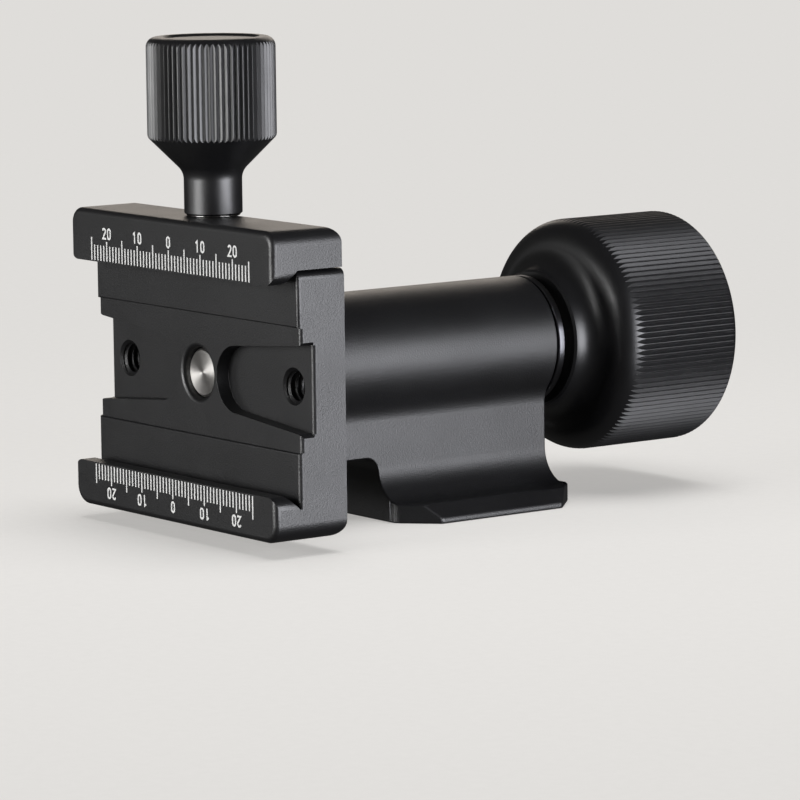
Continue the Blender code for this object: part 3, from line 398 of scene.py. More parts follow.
OVERRUN = 1.0 * MM
EDGE_BREAK = 0.35 * MM
SEAT_GAP = 0.25 * MM
BORE_GAP = 0.15 * MM
FOOT_WIDTH = 38.0 * MM
FOOT_LENGTH = 40.3 * MM
FOOT_LAND = 1.0 * MM
FOOT_SLOPE = 2.5 * MM
FOOT_CORNER_CUT = 6.3 * MM
FOOT_CORNER_DEG = 45.0
FOOT_SIDE_ROUND = 1.2 * MM
FOOT_END_ROUND = 2.8 * MM
TUBE_RADIUS = 12.0 * MM
REAR_LEDGE = 1.6 * MM
NECK_WIDTH = 16.0 * MM
NECK_FILLET = 5.5 * MM
FLARE_RADIUS = 6.5 * MM
OVERHANG_HEIGHT = 11.5 * MM
OVERHANG_ROUND = 2.6 * MM
TUBE_BORE = 7.3 * MM
INSERT_SEAT = 6.65 * MM
INSERT_DEPTH = 11.55 * MM
tube_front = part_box("housing")[0].y
foot_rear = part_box("housing")[1].y
foot_front = foot_rear - FOOT_LENGTH
foot_x = FOOT_WIDTH / 2
foot_end = FOOT_LENGTH / 2
foot_y = foot_rear - foot_end
tube_rear = foot_rear - REAR_LEDGE
foot_top = FOOT_LAND + FOOT_SLOPE

neck_x = NECK_WIDTH / 2
fillet_x = neck_x + NECK_FILLET
fillet_drop = math.sqrt((TUBE_RADIUS + NECK_FILLET) ** 2 - fillet_x ** 2)
lean_deg = math.degrees(math.atan2(fillet_drop, fillet_x))
half = [(foot_x, 0), (foot_x, FOOT_LAND), (foot_x - FOOT_SLOPE, foot_top)]
half += arc((neck_x + FLARE_RADIUS, foot_top + FLARE_RADIUS), FLARE_RADIUS, 270, 180)
half += arc((fillet_x, axis_z - fillet_drop), NECK_FILLET, 180, 180 - lean_deg)
half += arc((0, axis_z), TUBE_RADIUS, -lean_deg, 90)[1:-1]
outline = half + [(-x, y) for x, y in reversed(half)]
housing = extruded("tilt_housing", outline, "Y", tube_front, foot_rear)
reach = foot_x + OVERRUN
below = rounded([
    (tube_front - OVERRUN, -OVERRUN),
    (foot_front, -OVERRUN),
    (foot_front, OVERHANG_HEIGHT, OVERHANG_ROUND),
    (tube_front - OVERRUN, OVERHANG_HEIGHT),
])
cut(housing, extruded("under_tube", below, "X", -reach, reach))
behind = [
    (tube_rear, foot_top),
    (foot_rear + OVERRUN, foot_top),
    (foot_rear + OVERRUN, axis_z + TUBE_RADIUS + OVERRUN),
    (tube_rear, axis_z + TUBE_RADIUS + OVERRUN),
]
cut(housing, extruded("behind_neck", behind, "X", -reach, reach))
blend_share = math.tan(math.radians(FOOT_CORNER_DEG / 2))
side_blend = FOOT_SIDE_ROUND * blend_share
end_blend = FOOT_END_ROUND * blend_share
side_x = foot_x - FOOT_CORNER_CUT
side_y = foot_end - FOOT_CORNER_CUT
corner = rounded([
    (reach, side_y - side_blend),
    (foot_x, side_y - side_blend),
    (foot_x, side_y, FOOT_SIDE_ROUND),
    (side_x, foot_end, FOOT_END_ROUND),
    (side_x - end_blend, foot_end),
    (side_x - end_blend, foot_end + OVERRUN),
    (reach, foot_end + OVERRUN),
])
for side in (-1, 1):
    for end in (-1, 1):
        outline = [(side * x, foot_y + end * y) for x, y in corner]
        cut(housing, extruded("foot_corner", outline, "Z", -OVERRUN, foot_top + FLARE_RADIUS))
break_edges(housing, EDGE_BREAK, keep_apart=False)
bore = [(tube_front - OVERRUN, TUBE_BORE), (tube_rear + OVERRUN, TUBE_BORE)]
cut(housing, bored("tube_bore", bore, "Y", (0, 0, axis_z)))
socket = [(-OVERRUN, INSERT_SEAT + EDGE_BREAK), (0, INSERT_SEAT + EDGE_BREAK)]
socket += [(EDGE_BREAK, INSERT_SEAT), (INSERT_DEPTH, INSERT_SEAT)]
cut(housing, bored("socket_seat", socket, "Z", (0, foot_y, 0)))
finish_piece(housing, "base", blasted_black, ["housing"])


# Foot insert. A turned steel bush pressed into the foot from below and tapped for a 3/8 inch
# screw, with a chamfer that leads the screw in.
TURNING_PATCH = 1.5 * MM

# The wave texture draws 20 / tau rings in a metre at a scale of 1.
WAVE_RINGS = 20 / math.tau


def turned_metal(name, dark_hex, light_hex, roughness, axis, centre, rings=0.09 * MM, bump=0.25):
    """Bare turned metal: fine rings round an axis, which draw each highlight out across them."""
    material, tree, place = new_material(name)
    centred = add_node(tree, "ShaderNodeVectorMath", {"operation": "SUBTRACT"},
                       {0: place, 1: centre})
    groove = add_node(tree, "ShaderNodeTexWave", {
        "wave_type": "RINGS", "rings_direction": axis,
    }, {"Vector": centred.outputs[0], "Scale": 1 / (WAVE_RINGS * rings), "Distortion": 1.5})
    along_groove = add_node(tree, "ShaderNodeVectorMath", {"operation": "CROSS_PRODUCT"},
                            {0: centred.outputs[0], 1: LINES[axis]})
    patch = add_node(tree, "ShaderNodeTexNoise", inputs={
        "Vector": centred.outputs[0], "Scale": 1 / TURNING_PATCH, "Detail": 4.0,
    })
    shade = add_node(tree, "ShaderNodeMix", {"data_type": "RGBA"}, {
        0: patch.outputs[0], 6: linear(dark_hex), 7: linear(light_hex),
    })
    dull = add_node(tree, "ShaderNodeMapRange", inputs={
        "Value": patch.outputs[0], 1: 0.3, 2: 0.7, 3: roughness * 0.95, 4: roughness * 1.05,
    })
    raised = add_node(tree, "ShaderNodeBump", inputs={
        "Strength": bump, "Distance": rings * 0.1, "Height": groove.outputs[0],
    })
    shader = add_node(tree, "ShaderNodeBsdfPrincipled", inputs={
        "Base Color": shade.outputs[2],
        "Metallic": 1.0,
        "Roughness": dull.outputs[0],
        "Anisotropic": 0.75,
        "Anisotropic Rotation": 0.25,
        "Tangent": along_groove.outputs[0],
        "Normal": raised.outputs[0],
    })
    add_node(tree, "ShaderNodeOutputMaterial", inputs={"Surface": shader.outputs[0]})
    return material


def wound(name, section, axis, centre, rise, turns, steps):
    """A closed section wound into a helix round an axis through a centre, rising each turn."""
    coil = drawn_wire(name, section)
    bpy.ops.mesh.remove_doubles(threshold=WELD)
    bpy.ops.object.mode_set(mode="OBJECT")
    coil.location = centre
    use_modifier(coil, "SCREW", axis=axis, screw_offset=rise, iterations=turns,
                 steps=steps, render_steps=steps)
    bpy.ops.object.mode_set(mode="EDIT")
    bpy.ops.mesh.select_all(action="SELECT")
    bpy.ops.mesh.fill_holes(sides=0)
    close_solid()
    return coil


THREAD_STEPS = 48
THREAD_MOUTH = 0.46


def thread_cutter(name, axis, centre, open_radius, deep_radius, pitch, start, end):
    """A helical wedge that cuts a thread: wide at one radius and sharp at the other."""
    half_width = pitch * THREAD_MOUTH
    line = LINES[axis]
    corners = [
        line * (start - half_width) + LINES["X"] * open_radius,
        line * start + LINES["X"] * deep_radius,
        line * (start + half_width) + LINES["X"] * open_radius,
    ]
    turns = math.ceil((end - start) / pitch)
    return wound(name, corners + corners[:1], axis, centre, pitch, turns, THREAD_STEPS)


SOCKET_MINOR = 4.1 * MM
SOCKET_MAJOR = 4.76 * MM
SOCKET_PITCH = 1.5875 * MM
SOCKET_CHAMFER = 0.7 * MM
INSERT_RADIUS = 6.5 * MM
low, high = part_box("foot_thread_insert")
bottom = low.z
top = high.z
socket_centre = (0, foot_y, 0)
foot_insert = turned("threaded_foot_insert", [
    (bottom, SOCKET_MINOR + SOCKET_CHAMFER),
    (bottom, INSERT_RADIUS - EDGE_BREAK),
    (bottom + EDGE_BREAK, INSERT_RADIUS),
    (top, INSERT_RADIUS),
    (top, SOCKET_MINOR),
    (bottom + SOCKET_CHAMFER, SOCKET_MINOR),
], "Z", socket_centre)
cut(foot_insert, thread_cutter("socket_thread", "Z", socket_centre, SOCKET_MINOR - EDGE_BREAK,
                               SOCKET_MAJOR, SOCKET_PITCH, bottom - SOCKET_PITCH / 2,
                               top + SOCKET_PITCH / 2))

# Turned stainless steel: a warm pale grey with fine rings and a soft streak of light.
insert_steel = turned_metal("turned_stainless_steel", "#b4b1ac", "#c8c5c1", 0.28, "Z",
                            socket_centre)
finish_piece(foot_insert, "base", insert_steel, ["foot_thread_insert"])


# Clamp body. A milled plate with the fixed lower jaw in one piece. Its face has two pockets
# that open to the ends, each with a 1/4 inch thread, and a shallow band across the middle.
CLAMP_LENGTH = 64.0 * MM
CLAMP_THICKNESS = 15.2 * MM
JAW_DEPTH = 5.3 * MM
LIP_DEPTH = 2.85 * MM
LIP_HALF_GAP = 18.3 * MM
FIXED_JAW_HEIGHT = 8.2 * MM
JAW_FRONT_ROUND = 1.1 * MM
JAW_BACK_ROUND = 2.7 * MM
FIXED_CORNER_ROUND = 3.4 * MM
LIP_CORNER_ROUND = 2.3 * MM
BODY_TOP_ROUND = 1.4 * MM
BAND_HALF_HEIGHT = 10.95 * MM
BAND_DEPTH = 0.5 * MM
BAND_EDGE_ROUND = 0.32 * MM
POCKET_EDGE_ROUND = 0.6 * MM
LAND_END_ROUND = 0.8 * MM
LAND_END_LIFT = 0.01 * MM
LAND_END_STOP = 0.08 * MM
POCKET_DEPTH = 3.15 * MM
POCKET_INNER_END = 5.9 * MM
POCKET_ROUND = 6.0 * MM
POCKET_SPREAD_DEG = 5.0
POCKET_MOUTH_ROUND = 1.8 * MM
clamp_origin = Vector((0, clamp_front, axis_z))
clamp_side = CLAMP_LENGTH / 2
past_side = clamp_side + OVERRUN
body_top = LIP_HALF_GAP + JAW_DEPTH - LIP_DEPTH
clamp_bottom = -LIP_HALF_GAP - FIXED_JAW_HEIGHT
pocket_floor = JAW_DEPTH + POCKET_DEPTH
band_floor = JAW_DEPTH + BAND_DEPTH
FACES_FRONT = -0.9


def jaw_block(name, bottom, bottom_round, top, top_round):
    """A block with round corners whose front edge is rounded all the way round."""
    outline = rounded([
        (clamp_side, bottom, bottom_round),
        (clamp_side, top, top_round),
        (-clamp_side, top, top_round),
        (-clamp_side, bottom, bottom_round),
    ])
    block = extruded(name, outline, "Y", 0, CLAMP_THICKNESS + OVERRUN, clamp_origin)
    bpy.ops.object.mode_set(mode="EDIT")
    bpy.ops.mesh.select_mode(type="FACE")
    bpy.ops.mesh.select_all(action="DESELECT")
    bpy.ops.object.mode_set(mode="OBJECT")
    for face in block.data.polygons:
        face.select = face.normal.y < FACES_FRONT
    bpy.ops.object.mode_set(mode="EDIT")
    bpy.ops.mesh.region_to_loop()
    bpy.ops.mesh.bevel(offset=JAW_FRONT_ROUND, segments=8, affect="EDGES")
    bpy.ops.object.mode_set(mode="OBJECT")
    return block


def cut_lip_corners(piece, level, away):
    """Rounds both ends of a lip where it faces the other jaw."""
    inner = clamp_side - LIP_CORNER_ROUND
    outline = [(past_side, -LIP_CORNER_ROUND)]
    outline += arc((inner, -LIP_CORNER_ROUND), LIP_CORNER_ROUND, 0, 90)
    outline += [(inner, OVERRUN), (past_side, OVERRUN)]
    for side in (-1, 1):
        placed = [(side * x, level + away * z) for x, z in outline]
        cut(piece, extruded("lip_corner", placed, "Y", -OVERRUN, JAW_DEPTH, clamp_origin))


clamp_section = rounded([
    (0, clamp_bottom),
    (CLAMP_THICKNESS, clamp_bottom, JAW_BACK_ROUND),
    (CLAMP_THICKNESS, body_top),
    (JAW_DEPTH, body_top),
    (JAW_DEPTH, BAND_HALF_HEIGHT, BAND_EDGE_ROUND),
    (band_floor, BAND_HALF_HEIGHT, BAND_EDGE_ROUND / 2),
    (band_floor, -BAND_HALF_HEIGHT, BAND_EDGE_ROUND / 2),
    (JAW_DEPTH, -BAND_HALF_HEIGHT, BAND_EDGE_ROUND),
    (JAW_DEPTH, -body_top),
    (LIP_DEPTH, -LIP_HALF_GAP),
    (0, -LIP_HALF_GAP),
])
clamp_body = extruded("clamp_plate", clamp_section, "X", -past_side, past_side, clamp_origin)
cut(clamp_body, jaw_block("clamp_block", clamp_bottom, FIXED_CORNER_ROUND, body_top,
                          BODY_TOP_ROUND), "INTERSECT")
cut_lip_corners(clamp_body, -LIP_HALF_GAP, 1)
spread = math.radians(POCKET_SPREAD_DEG)
apex = POCKET_INNER_END + POCKET_ROUND - POCKET_ROUND / math.sin(spread)
mouth = (clamp_side - apex) * math.tan(spread)
pocket = rounded([
    (past_side, -mouth - POCKET_MOUTH_ROUND * 2),
    (clamp_side, -mouth, POCKET_MOUTH_ROUND),
    (apex, 0, POCKET_ROUND),
    (clamp_side, mouth, POCKET_MOUTH_ROUND),
    (past_side, mouth + POCKET_MOUTH_ROUND * 2),
])
break_edges(clamp_body, EDGE_BREAK)
over_band = [
    (-past_side, -BAND_HALF_HEIGHT),
    (past_side, -BAND_HALF_HEIGHT),
    (past_side, BAND_HALF_HEIGHT),
    (-past_side, BAND_HALF_HEIGHT),
]
face_cutter = extruded("room_over_band", over_band, "Y", 0, band_floor - WELD, clamp_origin)
for side in (-1, 1):
    outline = [(side * x, y) for x, y in pocket]
    tool = extruded("pocket", outline, "Y", JAW_DEPTH, pocket_floor, clamp_origin)
    cut(face_cutter, tool, "UNION")
break_edges(face_cutter, POCKET_EDGE_ROUND, segments=4)
cut(clamp_body, face_cutter)

# The cutters that round the ends start and stop just clear of the faces beside them.
for level, low, high in (
    (JAW_DEPTH, LAND_END_STOP - body_top, body_top + OVERRUN),
    (band_floor, LAND_END_STOP - BAND_HALF_HEIGHT, BAND_HALF_HEIGHT - LAND_END_STOP),
    (pocket_floor, -mouth, mouth),
):
    centre = (clamp_side - LAND_END_ROUND + LAND_END_LIFT, level + LAND_END_ROUND - LAND_END_LIFT)
    outline = arc(centre, LAND_END_ROUND, 0, -90)
    outline += [(past_side, outline[-1].y), (past_side, centre[1])]
    for side in (-1, 1):
        placed = [(side * x, y) for x, y in outline]
        cut(clamp_body, extruded("land_end", placed, "Z", low, high, clamp_origin))

SPIGOT_BORE = 4.65 * MM
CENTRE_BORE_ROUND = 0.85 * MM
FLANGE_SEAT = 8.15 * MM
FLANGE_THICKNESS = 3.0 * MM
seat_y = CLAMP_THICKNESS - FLANGE_THICKNESS
wide = SPIGOT_BORE + CENTRE_BORE_ROUND
shaft_seat = [(0, wide)]
shaft_seat += arc((band_floor + CENTRE_BORE_ROUND, wide), CENTRE_BORE_ROUND, 180, 270, 15)
shaft_seat += [(seat_y, SPIGOT_BORE), (seat_y, FLANGE_SEAT)]
shaft_seat += [(CLAMP_THICKNESS + OVERRUN, FLANGE_SEAT)]
cut(clamp_body, bored("shaft_seat", shaft_seat, "Y", clamp_origin))

SIDE_HOLE_PLACE = 26.0 * MM
SIDE_HOLE_MINOR = 2.6 * MM
SIDE_HOLE_MAJOR = 3.18 * MM
SIDE_HOLE_PITCH = 1.27 * MM
SIDE_HOLE_CHAMFER = 0.75 * MM
DRIVE_PIN_PLACE = 6.4 * MM
DRIVE_PIN_SEAT = 1.15 * MM
DRIVE_PIN_DEPTH = 5.5 * MM
SCREW_PLACE = 9.8 * MM
GUIDE_PIN_PLACE = 22.0 * MM
GUIDE_PIN_SEAT = 1.65 * MM
GUIDE_PIN_DEPTH = 11.35 * MM
SPRING_PLACE = 13.0 * MM
SPRING_SEAT = 2.5 * MM
SPRING_DEPTH = 8.5 * MM
SCREW_SEAT = 3.15 * MM
SCREW_DEPTH = 10.85 * MM


def drilled(name, bottom, top, radius, centre, segments):
    """An upright hole from a bottom to a top, where its edge is broken."""
    return bored(name, [
        (bottom, radius),
        (top - EDGE_BREAK, radius),
        (top, radius + EDGE_BREAK),
        (top + OVERRUN, radius + EDGE_BREAK),
    ], "Z", centre, segments)


for side in (-1, 1):
    centre = clamp_origin + LINES["X"] * (side * SIDE_HOLE_PLACE)
    wide = SIDE_HOLE_MINOR + SIDE_HOLE_CHAMFER
    cut(clamp_body, bored("side_hole", [
        (0, wide),
        (pocket_floor, wide),
        (pocket_floor + SIDE_HOLE_CHAMFER, SIDE_HOLE_MINOR),
        (CLAMP_THICKNESS - SIDE_HOLE_CHAMFER, SIDE_HOLE_MINOR),
        (CLAMP_THICKNESS, wide),
        (CLAMP_THICKNESS + OVERRUN, wide),
    ], "Y", centre, 72))
    cut(clamp_body, thread_cutter("side_thread", "Y", centre, SIDE_HOLE_MINOR - BORE_GAP,
                                  SIDE_HOLE_MAJOR, SIDE_HOLE_PITCH, pocket_floor,
                                  CLAMP_THICKNESS + SIDE_HOLE_PITCH / 2))
    centre = clamp_origin + LINES["X"] * (side * DRIVE_PIN_PLACE)
    pin_seat = [(CLAMP_THICKNESS - DRIVE_PIN_DEPTH, DRIVE_PIN_SEAT)]
    pin_seat.append((CLAMP_THICKNESS + OVERRUN, DRIVE_PIN_SEAT))
    cut(clamp_body, bored("drive_pin_seat", pin_seat, "Y", centre, 32))
    for place_x, radius, depth in (
        (GUIDE_PIN_PLACE, GUIDE_PIN_SEAT, GUIDE_PIN_DEPTH),
        (SPRING_PLACE, SPRING_SEAT, SPRING_DEPTH),
    ):
        centre = clamp_origin + Vector((side * place_x, SCREW_PLACE, 0))
        cut(clamp_body, drilled("seat_in_body", body_top - depth, body_top, radius, centre, 48))
screw_centre = clamp_origin + LINES["Y"] * SCREW_PLACE
cut(clamp_body, drilled("screw_seat", body_top - SCREW_DEPTH, body_top, SCREW_SEAT,
                        screw_centre, 64))
finish_piece(clamp_body, "clamp", blasted_black, ["clamp_body"])


# Moving jaw. The upper jaw, milled and anodised like the plate. It slides up on two guide
# pins, and the small knob's screw passes through its middle.
MOVING_JAW_HEIGHT = 9.45 * MM
MOVING_JAW_SETBACK = 0.4 * MM
MOVING_CORNER_ROUND = 2.8 * MM
JAW_PIN_DEPTH = 5.25 * MM
JAW_SPRING_DEPTH = 4.0 * MM
JAW_SCREW_CLEARANCE = 3.25 * MM
jaw_lip = LIP_HALF_GAP + SEAT_GAP
jaw_underside = body_top + SEAT_GAP
jaw_top = jaw_lip + MOVING_JAW_HEIGHT
jaw_section = rounded([
    (0, jaw_lip),
    (LIP_DEPTH, jaw_lip),
    (JAW_DEPTH, jaw_underside),
    (CLAMP_THICKNESS - MOVING_JAW_SETBACK, jaw_underside),
    (CLAMP_THICKNESS - MOVING_JAW_SETBACK, jaw_top, JAW_BACK_ROUND),
    (0, jaw_top),
])
moving_jaw = extruded("sliding_jaw", jaw_section, "X", -past_side, past_side, clamp_origin)
below_lip = LIP_HALF_GAP - MOVING_CORNER_ROUND
cut(moving_jaw, jaw_block("sliding_block", below_lip, MOVING_CORNER_ROUND, jaw_top,
                          MOVING_CORNER_ROUND), "INTERSECT")
cut_lip_corners(moving_jaw, jaw_lip, -1)
break_edges(moving_jaw, EDGE_BREAK)
for side in (-1, 1):
    for place_x, radius, depth in (
        (GUIDE_PIN_PLACE, GUIDE_PIN_SEAT, JAW_PIN_DEPTH),
        (SPRING_PLACE, SPRING_SEAT, JAW_SPRING_DEPTH),
    ):
        centre = clamp_origin + Vector((side * place_x, SCREW_PLACE, 0))
        hole = [(jaw_underside - OVERRUN, radius), (jaw_underside + depth, radius)]
        cut(moving_jaw, bored("seat_in_jaw", hole, "Z", centre, 48))
cut(moving_jaw, drilled("screw_clearance", jaw_underside - OVERRUN, jaw_top,
                        JAW_SCREW_CLEARANCE, screw_centre, 64))
finish_piece(moving_jaw, "jaw", blasted_black, ["moving_jaw"])


# Scale. Laser-marked white graduations on both jaws, 1 mm apart, numbered outwards from the
# middle. The lower row is the upper one turned by half a turn. The marks stand a hair proud.
MARK_COUNT = 51
MARK_PITCH = 1.0 * MM
MARK_WIDTH = 0.34 * MM
MARK_PROUD = 0.02 * MM
MARK_SINK = 0.06 * MM
MARK_MARGIN = 0.25 * MM
PLAIN_MARK = 2.8 * MM
TEN_MARK = 3.6 * MM
FIVE_MARK = 4.15 * MM
DIGIT_HEIGHT = 2.15 * MM
DIGIT_WIDTH = 1.25 * MM
DIGIT_STROKE = 0.36 * MM
DIGIT_STEP = 1.6 * MM
DIGIT_GAP = 0.35 * MM
FLAG_REACH = 1.3 * DIGIT_STROKE
BURN_GRAIN = 0.06 * MM

# White laser marking: a matt, slightly grainy burn in the black layer.
laser_marking, tree, place = new_material("white_laser_marking")
grain = add_node(tree, "ShaderNodeTexNoise", inputs={
    "Vector": place, "Scale": 1 / BURN_GRAIN, "Detail": 2.0,
})
shade = add_node(tree, "ShaderNodeMix", {"data_type": "RGBA"}, {
    0: grain.outputs[0], 6: linear("#c9c9c7"), 7: linear("#fbfbf9"),
})
shader = add_node(tree, "ShaderNodeBsdfPrincipled", inputs={
    "Base Color": shade.outputs[2], "Roughness": 0.75,
})
add_node(tree, "ShaderNodeOutputMaterial", inputs={"Surface": shader.outputs[0]})


def digit_line(digit):
    """The middle line of a digit's stroke, from its lower left corner."""
    half_stroke = DIGIT_STROKE / 2
    right = DIGIT_WIDTH - half_stroke
    top = DIGIT_HEIGHT - half_stroke
    bend = (DIGIT_WIDTH - DIGIT_STROKE) / 2
    middle = DIGIT_WIDTH / 2
    if digit == "0":
        line = arc((middle, top - bend), bend, 0, 180, 20)
        line += arc((middle, half_stroke + bend), bend, 180, 360, 20)
        return line + line[:1]
    if digit == "1":
        flag = middle - FLAG_REACH
        return [Vector((flag, top - DIGIT_STROKE)), Vector((middle, top)), Vector((middle, 0))]
    line = arc((middle, top - bend), bend, 165, -35, 20)
    return line + [Vector((half_stroke, half_stroke)), Vector((right + half_stroke, half_stroke))]


def stroke(line, width):
    """The outline of a stroke of even width along a line, mitred at its bends."""
    steps = [(end - start).normalized() for start, end in zip(line, line[1:])]
    closed = line[0] == line[-1]
    befores = [steps[-1] if closed else steps[0]] + steps
    afters = steps + [steps[0] if closed else steps[-1]]
    sides = ([], [])
    for point, before, after in zip(line, befores, afters):
        along = (before + after).normalized()
        normal = Vector((-along.y, along.x))
        offset = width / 2 / max(0.5, normal.dot(Vector((-before.y, before.x))))
        sides[0].append(point + normal * offset)
        sides[1].append(point - normal * offset)
    return sides


def mark_solid(outline):
    """An outline on the clamp's face as a thin solid that stands a hair proud."""
    return extruded("mark", outline, "Y", -MARK_PROUD, MARK_SINK, clamp_origin)


def digit_solid(digit, left, level, turn):
    """One digit on the clamp's face; a turn of -1 draws it half a turn round."""
    left_side, right_side = [
        [(turn * (left + x), level + turn * y) for x, y in side]
        for side in stroke(digit_line(digit), DIGIT_STROKE)
    ]
    if digit != "0":
        return mark_solid(left_side + right_side[::-1])
    solid = mark_solid(right_side[:-1])
    cut(solid, extruded("digit_hole", left_side[:-1], "Y", -OVERRUN, OVERRUN, clamp_origin))
    return solid


def scale_row(name, body, edge, turn):
    """Marks and numbers on a jaw's face, from its edge; a turn of -1 is half a turn round."""
    parts = []
    half_count = MARK_COUNT // 2
    for mark in range(-half_count, half_count + 1):
        length = PLAIN_MARK
        if mark % 10 == 0 or mark == turn * half_count:
            length = TEN_MARK
        elif mark % 5 == 0:
            length = FIVE_MARK
        low_x = mark * MARK_PITCH - MARK_WIDTH / 2
        high_x = low_x + MARK_WIDTH
        far = edge + turn * length
        parts.append(mark_solid([(low_x, edge), (high_x, edge), (high_x, far), (low_x, far)]))
    level = edge + turn * (TEN_MARK + DIGIT_GAP)
    for number in (-20, -10, 0, 10, 20):
        digits = str(abs(number))
        left = turn * number * MARK_PITCH - (DIGIT_STEP * (len(digits) - 1) + DIGIT_WIDTH) / 2
        for index, digit in enumerate(digits):
            parts.append(digit_solid(digit, left + index * DIGIT_STEP, level, turn))
    only(parts[0])
    for part in parts:
        part.select_set(True)
    bpy.ops.object.join()
    row = bpy.context.object
    row.name = name
    finish_piece(row, body, laser_marking)


scale_row("upper_scale", "jaw", jaw_lip + MARK_MARGIN, 1)
scale_row("lower_scale", "clamp", -LIP_HALF_GAP - MARK_MARGIN, -1)


# Guide pins. Two ground steel dowels pressed into the moving jaw, which slide in the plate
# and keep the jaw square.
GUIDE_PIN_RADIUS = 1.5 * MM


def chamfered(low, high, inner, outer, edge):
    """The profile of a rod or a washer with a chamfer on both its outer edges."""
    return [
        (low, inner),
        (low, outer - edge),
        (low + edge, outer),
        (high - edge, outer),
        (high, outer - edge),
        (high, inner),
    ]


# Ground steel: fine rings and the narrowest highlight of all the steels.
for side, node in ((-1, "guide_pin_left"), (1, "guide_pin_right")):
    low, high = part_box(node)
    centre = Vector((side * GUIDE_PIN_PLACE, clamp_front + SCREW_PLACE, 0))
    profile = chamfered(low.z, high.z, 0, GUIDE_PIN_RADIUS, EDGE_BREAK)
    pin = turned(node + "_ground", profile, "Z", centre, 48)
    steel = turned_metal(node + "_ground_steel", "#a9a7a4", "#bfbdba", 0.18, "Z", centre)
    finish_piece(pin, "jaw", steel, [node])


# Jaw springs. Two small compression springs of drawn wire that stand in the plate and push
# the moving jaw up when the knob is undone.
SPRING_RADIUS = 2.0 * MM
SPRING_WIRE = 0.5 * MM
SPRING_TURNS = 5
SPRING_STEPS = 32

# Drawn spring wire: a darker grey than the pins, smooth, with a narrow line of light.
for side, node in ((-1, "jaw_spring_left"), (1, "jaw_spring_right")):
    low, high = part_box(node)
    bottom = low.z + SPRING_WIRE / 2
    rise = (high.z - low.z - SPRING_WIRE) / SPRING_TURNS
    section = [
        Vector((SPRING_RADIUS + point.x, 0, point.y))
        for point in arc((0, 0), SPRING_WIRE / 2, 0, 360, 36)
    ]
    centre = Vector((side * SPRING_PLACE, clamp_front + SCREW_PLACE, bottom))
    spring = wound(node + "_coil", section, "Z", centre, rise, SPRING_TURNS, SPRING_STEPS)
    wire = turned_metal(node + "_drawn_wire", "#8b8986", "#a3a19d", 0.25, "Z", centre)
    finish_piece(spring, "clamp", wire, [node])


# Small knob. Turned aluminium with 72 V flutes round its barrel, a cone and a slim neck
# below, and a shallow recess in its top. It turns on the jaw and draws the screw up.
def fluted_prism(name, radius, depth, flutes, flat, axis, start, end, origin):
    """A prism whose outside is cut by V flutes with narrow flats between them."""
    flat_angle = flat / radius / 2
    outline = []
    for flute in range(flutes):
        crest = math.tau * flute / flutes
        valley = crest + math.pi / flutes
        for angle, reach in ((crest - flat_angle, radius), (crest + flat_angle, radius),
                             (valley, radius - depth)):
            outline.append((reach * math.cos(angle), reach * math.sin(angle)))
    return extruded(name, outline, axis, start, end, origin)


SMALL_KNOB_RADIUS = 11.5 * MM
SMALL_KNOB_BARREL = 17.2 * MM
SMALL_KNOB_ROUND = 1.2 * MM
SMALL_KNOB_TOP_ROUND = 1.8 * MM
SMALL_KNOB_CONE_DEG = 45.0
SMALL_KNOB_FLUTES = 72
SMALL_KNOB_FLUTE_DEPTH = 0.36 * MM
SMALL_KNOB_CREST = 0.1 * MM
SMALL_KNOB_RECESS_RADIUS = 8.7 * MM
SMALL_KNOB_RECESS_DEPTH = 0.4 * MM
SMALL_NECK_RADIUS = 5.2 * MM
SMALL_NECK_LENGTH = 5.5 * MM
SMALL_NECK_BLEND = 3.2 * MM
SMALL_NECK_FOOT = -0.6 * MM
NECK_EDGE = 0.2 * MM
KNOB_SEGMENTS = 288
small_knob_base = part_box("clamp_knob")[0].z
small_centre = Vector((0, clamp_front + SCREW_PLACE, small_knob_base))
cone_angle = math.radians(SMALL_KNOB_CONE_DEG)
edge_centre = SMALL_KNOB_RADIUS - SMALL_KNOB_ROUND
blend_side = SMALL_NECK_BLEND * (1 - math.cos(cone_angle))
edge_side = SMALL_KNOB_ROUND * (1 - math.cos(cone_angle))
cone_side = SMALL_KNOB_RADIUS - SMALL_NECK_RADIUS - blend_side - edge_side
cone_start = SMALL_NECK_LENGTH + SMALL_NECK_BLEND * math.sin(cone_angle)
cone_rise = cone_side * math.tan(cone_angle)
barrel = cone_start + cone_rise + SMALL_KNOB_ROUND * math.sin(cone_angle)
top = barrel + SMALL_KNOB_BARREL
recess = top - SMALL_KNOB_RECESS_DEPTH
outside = [
    (0, SMALL_NECK_FOOT),
    (SMALL_NECK_RADIUS - NECK_EDGE, SMALL_NECK_FOOT),
    (SMALL_NECK_RADIUS, SMALL_NECK_FOOT + NECK_EDGE),
]
outside += arc((SMALL_NECK_RADIUS + SMALL_NECK_BLEND, SMALL_NECK_LENGTH), SMALL_NECK_BLEND,
               180, 180 - SMALL_KNOB_CONE_DEG)
outside += arc((edge_centre, barrel), SMALL_KNOB_ROUND, -SMALL_KNOB_CONE_DEG, 0, 8)
outside += arc((SMALL_KNOB_RADIUS - SMALL_KNOB_TOP_ROUND, top - SMALL_KNOB_TOP_ROUND),
               SMALL_KNOB_TOP_ROUND, 0, 90, 8)
outside += [
    (SMALL_KNOB_RECESS_RADIUS, top),
    (SMALL_KNOB_RECESS_RADIUS - SMALL_KNOB_RECESS_DEPTH, recess),
    (0, recess),
]
profile = [(y, x) for x, y in outside]
small_knob = turned("small_fluted_knob", profile, "Z", small_centre, KNOB_SEGMENTS)
